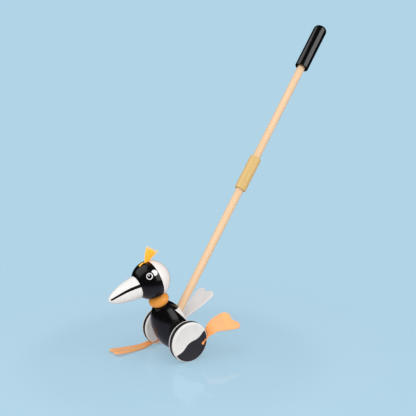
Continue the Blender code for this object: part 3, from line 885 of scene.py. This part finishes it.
def wheel_finish(word):
    """White lacquer with a charcoal wave on the outer face."""
    c = colours()
    side = FEET[word]["side"]
    finish = Finish(word + "_wheel_lacquer")
    wave_rise, wave_height, wave_length, wave_shift, wave_tilt = -0.0016, 0.0020, 0.0392, 0.0025, -0.044
    wave_slope, bare_edge = 32.6, 0.0017
    along_wave, across_wave = polar(1, wave_slope), polar(1, wave_slope + 90)
    if side > 0:
        turned = FEET["right"]["bead"] - (180 - FEET["left"]["bead"])
        along_wave, across_wave = polar(1, 180 - wave_slope + turned), polar(1, 90 - wave_slope + turned)
    from_axle = finish.place.vector("SUBTRACT", AXLE)
    run = from_axle.vector("DOT_PRODUCT", along_wave)
    rise = from_axle.vector("DOT_PRODUCT", across_wave)
    phase = (run + wave_shift) * (2 * math.pi / wave_length)
    border = phase.calc("COSINE") * wave_height + wave_rise + run * wave_tilt
    past_edge = from_axle_line(finish.place) - (sizes().wheel_diameter / 2 - bare_edge)
    _, sideways, _ = from_axle.split()
    inside = sideways * float(-side) + track() / 2
    mask = finish.painted((rise - border).max(past_edge).max(inside), WAVE_EDGE)
    base = mask.mix(c.white, c.charcoal)
    return finish.lacquer(base, gloss=mask.ramp(0.0, 1.0, 0.30, 0.45), smudge=0.12, shine=0.35)


def web_finish():
    """Soft orange rubber, faintly blotched and deeper at the wheel."""
    c = colours()
    finish = Finish("orange_web_rubber")
    skin = finish.group(rubber_skin(), {"Matt": 0.36})
    blotched = skin["Blotch"].ramp(0.35, 0.7).mix(c.web, c.web_blotch)
    rim, root_reach = sizes().wheel_diameter / 2, 0.025
    off_root = from_axle_line(finish.place).ramp(rim, rim + root_reach)
    sheen = {"Sheen Weight": 0.15, "Sheen Roughness": 0.5}
    return finish.coat(off_root.mix(c.web_root, blotched), skin["Roughness"], skin["Height"], 0.10, sheen)


def tread_finish():
    """Matt black rubber of the bands in the treads, dusty in places."""
    finish = Finish("black_tread_rubber")
    skin = finish.group(rubber_skin(), {"Matt": 0.52})
    tread, dusting = colours().tread, 2.2
    dusty = [dusting * value for value in tread]
    base = skin["Blotch"].ramp(0.45, 0.75).mix(tread, dusty)
    return finish.coat(base, skin["Roughness"], skin["Height"], 0.25)


def crest_finish():
    """Yellow-orange fibre with painted shade at its foot, streaked along the strands and with a faint painted
    glow in its own colour.
    """
    c = colours()
    s = sizes()
    finish = Finish("crest_fibre")
    _, _, along = finish.place.measured_in(crest_place()).split()
    # Darker towards the foot of the strands: painted shade where they crowd together
    skin, shaded_share = s.head_diameter / 2, 0.6
    foot = along.ramp(skin, skin + shaded_share * s.crest_length, 0.75, 0.0)
    streak = finish.place.noise(1300, 3, 0.6)
    share = foot.calc("ADD", streak.ramp(0.45, 0.75, 0.0, 0.6), clamp=True)
    roughness = streak.ramp(0.3, 0.7, 0.45, 0.65)
    # Emission in the crest's own colour: a painted glow that stands in for light shining through the strands
    glow = {"Emission Color": c.crest, "Emission Strength": 0.22}
    return finish.coat(share.mix(c.crest, c.crest_painted_shade), roughness, streak, 0.3, glow)


# Feet


def sprung_foot(foot):
    """Middle of a foot's bead, and direction, length and heading of its leg from there to the flex line."""
    s = sizes()
    bead = polar(s.foot_bead_radius, foot["bead"])
    leave = polar(s.wheel_diameter / 2, foot["bead"] + foot["turn"] * math.degrees(s.foot_slot_turn))
    leg = leave - bead
    return {
        "middle": wheel_middle(foot["side"]) + bead,
        "leg": leg.normalized(),
        "run": leg.length + s.foot_hinge_out,
        "heading": math.degrees(math.atan2(leg.z, leg.x)) % 360,
    }


def slot_cutters(foot, gap):
    """Round hole and straight slot that hold a foot in its wheel."""
    s = sizes()
    held = sprung_foot(foot)
    reach = s.wheel_width + 2 * CUT_PAST
    hole = drill_bit(s.foot_bead_diameter + 2 * gap, -reach / 2, reach / 2, crosswise(held["middle"]))
    run = held["run"] + CUT_PAST
    slot_place = placed(held["middle"], math.radians(held["heading"]))
    slot = block((run, reach, s.foot_thickness + 2 * gap), (run / 2, 0, 0), slot_place)
    return hole, slot


def foot_line(foot, held):
    """Middle line of a web from its flex line: (point, heading) pairs in the XZ plane."""
    bend = sizes().foot_bend
    bend_end = foot["run"] + bend
    point = Vector((0, 0, 0))
    stations = [(point, held["heading"])]
    stride = foot["length"] / WEB_STATIONS
    for step in range(WEB_STATIONS):
        middle = (step + 0.5) * stride
        bent = min(max((middle - foot["run"]) / bend, 0), 1)
        curled = max((middle - bend_end) / (foot["length"] - bend_end), 0)
        heading = held["heading"] + (foot["lie"] - held["heading"]) * bent + foot["curl"] * curled
        point = point + polar(stride, heading)
        stations.append((point, heading))
    return stations


def foot_shape(foot, held):
    """Flex line of a foot, its outline laid flat, leg included, and the function that bends it into place."""
    s = sizes()
    stations = foot_line(foot, held)
    outward = Vector((0, foot["side"], 0))
    hinge = held["middle"] + held["run"] * held["leg"]
    whole = foot["length"]

    def half_width(along):
        spread = eased(along / whole) ** s.foot_spread
        return (s.foot_neck_width + (foot["end_width"] - s.foot_neck_width) * spread) / 2

    def longest(across):
        skewed = foot["skew"] * across
        return fan_length(across, whole - foot["skew"], s.foot_notch, s.foot_corner) + skewed

    def bend(along, across, off):
        if along < 0:
            centre, heading = along * held["leg"], held["heading"]
        else:
            centre, heading = stations[min(round(along / whole * WEB_STATIONS), WEB_STATIONS)]
        roll = math.radians(foot["roll"]) * eased(along / foot["roll_length"])
        up = polar(1, heading + 90 * foot["turn"])
        sideways = outward * math.cos(roll) - up * math.sin(roll)
        normal = up * math.cos(roll) + outward * math.sin(roll)
        return hinge + centre + across * sideways + off * normal

    return hinge, fan_outline(-held["run"], half_width, longest), bend


# Steps


class Step:
    """What all steps share: each is undone as a whole"""

    bl_options = {"REGISTER", "UNDO"}


class MAGPIE_OT_body(Step, bpy.types.Operator):
    """Turn the black egg and cut its bore, neck hole, stick socket and tail slot"""

    bl_idname = "magpie.body"
    bl_label = "Body"

    def execute(self, context):
        s = sizes()
        body = ball("turned_body", s.body_diameter, s.body_length, body_place())
        tail_size = (s.tail_thickness + 2 * FIT, s.tail_root_width + 2 * FIT, s.tail_length)
        cut(
            body,
            drill_bit(s.axle_diameter + 2 * RUNNING, -s.body_diameter, s.body_diameter, crosswise(AXLE)),
            drill_bit(s.neck_dowel_diameter + 2 * FIT, s.neck_dowel_foot - FIT, s.head_rise, neck_place()),
            drill_bit(s.stick_diameter + 2 * FIT, s.stick_foot - FIT, s.sleeve_start, stick_place()),
            block(tail_size, (0, 0, s.tail_length / 2 - FIT), tail_place()),
        )
        smooth(body)
        dress(body, body_finish(), "black_lacquer", "root", "body")
        return {"FINISHED"}


class MAGPIE_OT_neck(Step, bpy.types.Operator):
    """Turn the orange bead and dish it to sit between body and head"""

    bl_idname = "magpie.neck"
    bl_label = "Neck bead"

    def execute(self, context):
        s = sizes()
        place = neck_place() @ Matrix.Translation((0, 0, s.neck_bead_rise))
        bead = ball("turned_neck_bead", s.neck_bead_diameter, s.neck_bead_height, place)
        over_head = s.head_diameter + 2 * FIT
        cut(
            bead,
            ball("body_seat", s.body_diameter + 2 * FIT, s.body_length + 2 * FIT, body_place()),
            ball("head_seat", over_head, over_head, beak_place()),
            drill_bit(s.neck_dowel_diameter + 2 * FIT, 0, s.head_rise, neck_place()),
        )
        smooth(bead)
        finish = Finish("orange_lacquer_gloss").lacquer(colours().orange, *NECK_GLOSS)
        dress(bead, finish, "orange_lacquer", "root", "neck_bead")
        return {"FINISHED"}


class MAGPIE_OT_head(Step, bpy.types.Operator):
    """Turn the black ball with its flat for the beak, its dowel holes and its crest hole"""

    bl_idname = "magpie.head"
    bl_label = "Head"

    def execute(self, context):
        s = sizes()
        place = beak_place()
        seat = beak_seat()
        whole = s.head_diameter
        head = ball("turned_head", whole, whole, place)
        beak_bottom = seat - s.beak_dowel_depth - FIT
        neck_top = s.head_rise - whole / 2 + s.neck_dowel_in_head + FIT
        crest_bottom = whole / 2 - s.crest_socket - FIT
        cut(
            head,
            block((whole, whole, whole / 2), (0, 0, seat + whole / 4), place),
            drill_bit(s.beak_dowel_diameter + 2 * FIT, beak_bottom, whole, place),
            drill_bit(s.neck_dowel_diameter + 2 * FIT, 0, neck_top, neck_place()),
            drill_bit(s.crest_hole, crest_bottom, whole, crest_place()),
        )
        smooth(head)
        dress(head, head_finish(), "black_lacquer", "root", "head")
        return {"FINISHED"}


class MAGPIE_OT_beak(Step, bpy.types.Operator):
    """Turn the white beak with its dowel hole"""

    bl_idname = "magpie.beak"
    bl_label = "Beak"

    def execute(self, context):
        s = sizes()
        radius = s.beak_diameter / 2
        base = beak_seat() + FIT
        tip = beak_seat() + s.beak_length
        hole = s.beak_dowel_diameter / 2 + FIT
        bottom = base + s.beak_dowel_depth + FIT
        steps = 6 * ROUND_STEPS
        profile = [(0, tip)]
        for step in range(steps - 1, 0, -1):
            share = math.sin(math.pi / 2 * step / steps)
            height = base + share * (tip - base)
            if height > base + BEAK_ROUND:
                profile.append((radius * (1 - share ** s.beak_swell) ** s.beak_fullness, height))
        profile += arc((radius - BEAK_ROUND, base + BEAK_ROUND), BEAK_ROUND, 0, -90)
        profile += [(hole, base), (hole, bottom), (0, bottom)]
        beak = turn("turned_beak", profile, beak_place())
        smooth(beak)
        dress(beak, beak_finish(), "white_lacquer", "root", "beak")
        return {"FINISHED"}


class MAGPIE_OT_crest(Step, bpy.types.Operator):
    """Plant the crest: strands that fan back out of the head, and one stray lock that falls forward"""

    bl_idname = "magpie.crest"
    bl_label = "Crest"

    def execute(self, context):
        s = sizes()
        chance = random.Random(CREST_SEED)
        foot_place = crest_place() @ Matrix.Translation((0, 0, s.head_diameter / 2))
        strands = self.plume(chance, foot_place) + self.lock(chance, foot_place)
        deselect()
        for strand in strands:
            strand.select_set(True)
        bpy.context.view_layer.objects.active = strands[0]
        bpy.ops.object.convert(target="MESH")
        bpy.ops.object.join()
        crest = settle(bpy.context.active_object, "fibre_crest")
        smooth(crest, STRAND_SHARP)
        dress(crest, crest_finish(), "crest_yarn", "root", "head_tuft")
        return {"FINISHED"}

    def plume(self, chance, foot_place):
        """Strands that stand in the hole from front to back, and lean back further towards the back."""
        s = sizes()
        foot_reach, foot_side, root_depth = 0.34, 0.8, 0.6
        aside_spread, aside_lean = 0.4, 0.16
        first_lean, more_lean, stray_lean = 14, 42, 1.5
        shortest, dip = 0.70, 0.12
        bow_height, bow = 0.40, Vector((-0.06, 0, 0.05))
        thinnest, thickest = 0.8, 1.15
        root = Vector((0, 0, -root_depth * s.crest_socket))
        strands = []
        for _ in range(s.crest_strands):
            share = chance.random()
            aside = chance.gauss(0, aside_spread)
            sideways = max(-foot_side, min(foot_side, aside))
            foot = foot_reach * s.crest_hole * Vector((2 * share - 1, sideways, 0))
            back = math.radians(first_lean + more_lean * share + chance.gauss(0, stray_lean))
            longest = s.crest_length * (1.0 - dip * math.sin(math.pi * share))
            tall = longest * chance.uniform(shortest, 1.0)
            way = Vector((math.sin(back), aside_lean * aside, math.cos(back))).normalized()
            out = foot_place @ foot
            middle = out + bow_height * tall * (way + bow)
            thickness = s.strand_thickness * chance.uniform(thinnest, thickest)
            strands.append(self.strand(foot_place @ (foot + root), middle, out + tall * way, thickness))
        return strands

    def lock(self, chance, foot_place):
        """The few strands that lie forward on the forehead."""
        s = sizes()
        head, radius = head_centre(), s.head_diameter / 2
        over_way, end_way = Vector((-0.45, 0.0, 0.89)), Vector((-0.63, -0.04, 0.77))
        stray_ahead, stray_aside = 0.02, 0.03
        foot_ahead, foot_aside, foot_up = 0.3 * s.crest_hole, 0.0008, 0.0004
        lift, lowest, highest = 0.0024, 0.0006, 0.0016
        strands = []
        for _ in range(s.crest_strands // PLUME_PER_LOCK):
            stray = Vector((chance.gauss(0, stray_ahead), chance.gauss(0, stray_aside), 0))
            start = foot_place @ Vector((-foot_ahead, chance.uniform(-foot_aside, foot_aside), foot_up))
            middle = head + (radius + lift) * (over_way + stray).normalized()
            lie = head + (radius + chance.uniform(lowest, highest)) * (end_way + stray).normalized()
            strands.append(self.strand(start, middle, lie, s.strand_thickness))
        return strands

    def strand(self, start, middle, end, thickness):
        """One tapered strand on a smooth curve that bows towards a middle point."""
        deselect()
        bpy.ops.curve.primitive_bezier_curve_add()
        strand = bpy.context.active_object
        strand.data.bevel_depth = thickness
        strand.data.bevel_resolution = 1
        strand.data.resolution_u = 6
        strand.data.use_fill_caps = True
        first, last = strand.data.splines[0].bezier_points
        tip_share, handle_share = 0.6, 0.6
        for point, place, taper in ((first, start, 1.0), (last, end, tip_share)):
            point.handle_left_type = point.handle_right_type = "FREE"
            point.co = place
            point.radius = taper
            point.handle_left = point.handle_right = place.lerp(middle, handle_share)
        return strand


class MAGPIE_OT_tail(Step, bpy.types.Operator):
    """Shape the flat white tail fan"""

    bl_idname = "magpie.tail"
    bl_label = "Tail"

    def execute(self, context):
        s = sizes()
        place = tail_place()

        def half_width(along):
            spread = eased((along - s.tail_socket) / (s.tail_length - s.tail_socket)) ** s.tail_spread
            return (s.tail_root_width + (s.tail_end_width - s.tail_root_width) * spread) / 2

        def longest(across):
            return fan_length(across, s.tail_length, s.tail_notch, s.tail_corner)

        def stand_up(along, across, off):
            return place @ Vector((off, across, along))

        tail = sheet("tail_fan", fan_outline(0, half_width, longest), s.tail_thickness, stand_up)
        smooth_flats(tail)
        # The tail's colour is its white lacquer made greyer: painted shade
        finish = Finish("white_tail_lacquer").lacquer(colours().tail, *TAIL_SATIN)
        dress(tail, finish, "white_lacquer", "root", "tail")
        return {"FINISHED"}


class MAGPIE_OT_stick(Step, bpy.types.Operator):
    """Turn the two dowels of the push stick"""

    bl_idname = "magpie.stick"
    bl_label = "Push stick"

    def execute(self, context):
        s = sizes()
        place = stick_place()
        joint = s.sleeve_start + s.sleeve_length / 2
        ends = {
            "lower_dowel": (s.stick_foot, joint - FIT / 2, "lower_stick"),
            "upper_dowel": (joint + FIT / 2, s.grip_start + s.grip_socket, "upper_stick"),
        }
        for name, (low, high, node) in ends.items():
            side = rounded_side(s.stick_diameter / 2, low, high, DOWEL_CHAMFER, steps=4)
            dowel = turn(name, [(0, high), *side, (0, low)], place)
            smooth(dowel)
            heart = place @ Matrix.Translation((0.011, 0.007, low))
            dress(dowel, timber(name + "_wood", "beech", STICK_LINES, heart), "pale_wood", "root", node)
        return {"FINISHED"}


class MAGPIE_OT_sleeve(Step, bpy.types.Operator):
    """Turn the wooden sleeve over the joint of the dowels"""

    bl_idname = "magpie.sleeve"
    bl_label = "Coupling sleeve"

    def execute(self, context):
        s = sizes()
        end = s.sleeve_start + s.sleeve_length
        side = rounded_side(s.sleeve_diameter / 2, s.sleeve_start, end, s.edge_round)
        sleeve = ring("coupling_sleeve", side, s.stick_diameter / 2 + FIT, stick_place())
        smooth(sleeve)
        heart = stick_place() @ Matrix.Translation((0.003, 0.019, 0.05))
        finish = timber("sleeve_wood", "birch", STICK_LINES, heart)
        dress(sleeve, finish, "yellow_wood", "root", "stick_sleeve")
        return {"FINISHED"}


class MAGPIE_OT_grip(Step, bpy.types.Operator):
    """Turn the black grip with its domed top and blind socket"""

    bl_idname = "magpie.grip"
    bl_label = "Grip"

    def execute(self, context):
        s = sizes()
        radius = s.grip_diameter / 2
        bore = s.stick_diameter / 2 + FIT
        end = s.grip_start + s.grip_length
        socket_top = s.grip_start + s.grip_socket + FIT
        rounding = s.edge_round
        profile = [(0, end)]
        profile += arc((radius - s.grip_dome, end - s.grip_dome), s.grip_dome, 90, 0, 2 * ROUND_STEPS)
        profile += arc((radius - rounding, s.grip_start + rounding), rounding, 0, -90)
        profile += [(bore, s.grip_start), (bore, socket_top), (0, socket_top)]
        grip = turn("push_grip", profile, stick_place())
        smooth(grip)
        finish = Finish("black_grip_lacquer").lacquer(colours().black, *GRIP_GLOSS)
        dress(grip, finish, "black_lacquer", "root", "grip")
        return {"FINISHED"}


class MAGPIE_OT_wheels(Step, bpy.types.Operator):
    """Turn the two wheels with their tyre grooves and cut the keyhole slots for the feet"""

    bl_idname = "magpie.wheels"
    bl_label = "Wheels"

    def execute(self, context):
        s = sizes()
        half = s.wheel_width / 2
        radius = s.wheel_diameter / 2
        groove = s.tyre_width / 2
        groove_radius = radius - s.tyre_depth
        socket = s.axle_diameter / 2 + FIT
        corner = radius - s.wheel_shoulder
        rim = radius - s.wheel_rim
        profile = [(0, half - s.wheel_dish), (rim - WHEEL_LIP, half - s.wheel_dish), (rim, half)]
        profile += arc((corner, half - s.wheel_shoulder), s.wheel_shoulder, 90, 0)
        profile += [(radius, groove), (groove_radius, groove), (groove_radius, -groove), (radius, -groove)]
        profile += arc((corner, s.wheel_shoulder - half), s.wheel_shoulder, 0, -90)
        profile += [(socket, -half), (socket, s.axle_socket - half), (0, s.axle_socket - half)]
        for word, foot in FEET.items():
            wheel = turn(word + "_disc", profile, crosswise(wheel_middle(foot["side"]), foot["side"]))
            cut(wheel, *slot_cutters(foot, FIT))
            smooth(wheel)
            dress(wheel, wheel_finish(word), "white_lacquer", "wheelset", word + "_wheel")
        return {"FINISHED"}


class MAGPIE_OT_tyres(Step, bpy.types.Operator):
    """Turn the rubber bands in the treads, open at the feet's slots"""

    bl_idname = "magpie.tyres"
    bl_label = "Tyres"

    def execute(self, context):
        s = sizes()
        half = s.tyre_width / 2 - FIT
        inner = s.wheel_diameter / 2 - s.tyre_depth + FIT
        side = rounded_side(s.wheel_diameter / 2 + s.tyre_proud, -half, half, TYRE_ROUND, steps=4)
        finish = tread_finish()
        for word, foot in FEET.items():
            tyre = ring(word + "_tread", side, inner, crosswise(wheel_middle(foot["side"]), foot["side"]))
            cut(tyre, *slot_cutters(foot, TYRE_END_GAP))
            smooth(tyre)
            dress(tyre, finish, "tread_rubber", "wheelset", word + "_tyre")
        return {"FINISHED"}


class MAGPIE_OT_axle(Step, bpy.types.Operator):
    """Turn the spacers and give the axle and the hidden dowels their wood"""

    bl_idname = "magpie.axle"
    bl_label = "Axle and dowels"

    def execute(self, context):
        s = sizes()
        finish = timber("spacer_wood", "beech", INNER_LINES, crosswise(AXLE))
        low = s.body_diameter / 2 + RUNNING
        high = (track() - s.wheel_width) / 2 - FIT
        side = rounded_side(s.spacer_diameter / 2, low, high, SPACER_ROUND, steps=5)
        for word, foot in FEET.items():
            spacer = ring(word + "_ring", side, s.axle_diameter / 2 + FIT, crosswise(AXLE, foot["side"]))
            smooth(spacer)
            dress(spacer, finish, "pale_wood", "wheelset", word + "_spacer")
        dowels = {"axle": crosswise(AXLE), "neck_dowel": neck_place(), "beak_dowel": beak_place()}
        for node, place in dowels.items():
            materials = frame["nodes"][node].data.materials
            materials.clear()
            materials.append(timber(node + "_wood", "beech", INNER_LINES, place))
        return {"FINISHED"}


class MAGPIE_OT_feet(Step, bpy.types.Operator):
    """Mould each soft foot in one piece from its bead to its toes, bending at the flex line"""

    bl_idname = "magpie.feet"
    bl_label = "Feet"

    def execute(self, context):
        s = sizes()
        finish = web_finish()
        half = s.foot_neck_width / 2
        for word, foot in FEET.items():
            held = sprung_foot(foot)
            hinge, outline, bend = foot_shape(foot, held)
            scores = [foot["length"] * step / SCORE_STEPS for step in range(SCORE_STEPS)]
            piece = sheet(word + "_web_foot", outline, s.foot_thickness, bend, scores)
            bead = drill_bit(s.foot_bead_diameter, -half, half, crosswise(held["middle"]))
            combine(piece, bead, "UNION")
            smooth_flats(piece)
            dress(piece, finish, "foot_rubber", None, word + "_foot_root", word + "_foot_web")
            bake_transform(piece)
        return {"FINISHED"}


class MAGPIE_OT_stage(Step, bpy.types.Operator):
    """Set up the pale floor, the background, the soft lights and the camera"""

    bl_idname = "magpie.stage"
    bl_label = "Stage"

    def execute(self, context):
        self.floor()
        self.world()
        for name, lamp in LAMPS.items():
            self.softbox(name, *lamp)
        self.camera()
        bpy.context.scene.view_settings.view_transform = "Standard"
        return {"FINISHED"}

    def floor(self):
        """Floor whose near part takes the shadow and whose far part is the plain background."""
        c = colours()
        deselect()
        bpy.ops.mesh.primitive_plane_add(size=FLOOR_WIDTH, location=(0, 0, -FLOOR_DROP))
        floor = settle(bpy.context.active_object, "pale_floor")
        finish = Finish("pale_floor_paint")
        path = outputs(add(finish.tree, "ShaderNodeLightPath"))
        seen, glossy = path["Is Camera Ray"], path["Is Glossy Ray"]
        away = finish.place.vector("DISTANCE", Vector((AXLE.x, AXLE.y, 0)))
        finish.set({
            "Base Color": seen.mix(FLOOR_BOUNCE, c.floor),
            "Roughness": away.ramp(0.16, 0.32, 0.04, 0.75),
            "Specular IOR Level": 0.5,
        })
        plain = away.ramp(0.22, 0.60, 0.55, 1.0)
        mirrored = away.ramp(0.16, 0.50).mix(MIRRORED_NEAR, MIRRORED_FAR)
        tint = glossy.mix(c.backdrop, mirrored)
        glow = tint.through("ShaderNodeEmission", {"Color": tint})
        share = (plain * seen.max(path["Is Transmission Ray"])).max(glossy)
        lit = Value(finish.shader.outputs[0])
        surface = share.through("ShaderNodeMixShader", {0: share, 1: lit, 2: glow})
        feed(finish.tree.nodes["Material Output"].inputs, {"Surface": surface})
        floor.data.materials.append(finish.material)

    def world(self):
        """Neutral soft fill that shows as the plain background."""
        world = bpy.data.worlds.new("studio")
        bpy.context.scene.world = world
        world.use_nodes = True
        path = outputs(add(world.node_tree, "ShaderNodeLightPath"))
        soft = path["Is Glossy Ray"].mix(WORLD_FILL, WORLD_MIRRORED)
        shown = path["Is Camera Ray"].mix(soft, colours().backdrop)
        feed(world.node_tree.nodes["Background"].inputs, {"Color": shown, "Strength": 1.0})

    def softbox(self, name, place, width, watts, mirrored):
        """Square area light that points at the toy."""
        deselect()
        turned = (LAMP_AIM - Vector(place)).to_track_quat("-Z", "Y").to_euler()
        bpy.ops.object.light_add(type="AREA", location=place, rotation=turned)
        lamp = bpy.context.active_object
        lamp.name = name
        lamp.data.shape = "SQUARE"
        lamp.data.size = width
        lamp.data.energy = watts
        lamp.visible_glossy = mirrored

    def camera(self):
        """Camera at the photograph's viewing angle."""
        deselect()
        turned = (math.radians(CAMERA_TILT), 0, math.radians(CAMERA_TURN))
        bpy.ops.object.camera_add(location=CAMERA_PLACE, rotation=turned)
        camera = bpy.context.active_object
        camera.name = "photograph_camera"
        camera.data.lens = CAMERA_LENS
        camera.data.sensor_width = CAMERA_SENSOR
        bpy.context.scene.camera = camera


STEPS = (
    MAGPIE_OT_body, MAGPIE_OT_neck, MAGPIE_OT_head, MAGPIE_OT_beak, MAGPIE_OT_crest, MAGPIE_OT_tail,
    MAGPIE_OT_stick, MAGPIE_OT_sleeve, MAGPIE_OT_grip, MAGPIE_OT_wheels, MAGPIE_OT_tyres, MAGPIE_OT_axle,
    MAGPIE_OT_feet, MAGPIE_OT_stage,
)


class MAGPIE_PT_steps(bpy.types.Panel):
    """Panel that lists the steps, the sizes and the colours"""

    bl_idname = "MAGPIE_PT_steps"
    bl_label = "Push-along magpie"
    bl_space_type = "VIEW_3D"
    bl_region_type = "UI"
    bl_category = "Magpie"

    def draw(self, context):
        for step in STEPS:
            self.layout.operator(step.bl_idname)
        for group in (sizes(), colours()):
            box = self.layout.box()
            for key in type(group).__annotations__:
                box.prop(group, key)


CLASSES = (MagpieSizes, MagpieColours, *STEPS, MAGPIE_PT_steps)


def register():
    for entry in CLASSES:
        bpy.utils.register_class(entry)
    bpy.types.Scene.magpie_sizes = PointerProperty(type=MagpieSizes)
    bpy.types.Scene.magpie_colours = PointerProperty(type=MagpieColours)


def unregister():
    del bpy.types.Scene.magpie_colours
    del bpy.types.Scene.magpie_sizes
    for entry in reversed(CLASSES):
        bpy.utils.unregister_class(entry)


def main():
    """Register the add-on and run every step in order."""
    register()
    for step in STEPS:
        group, name = step.bl_idname.split(".")
        getattr(getattr(bpy.ops, group), name)()


if __name__ == "__main__":
    main()
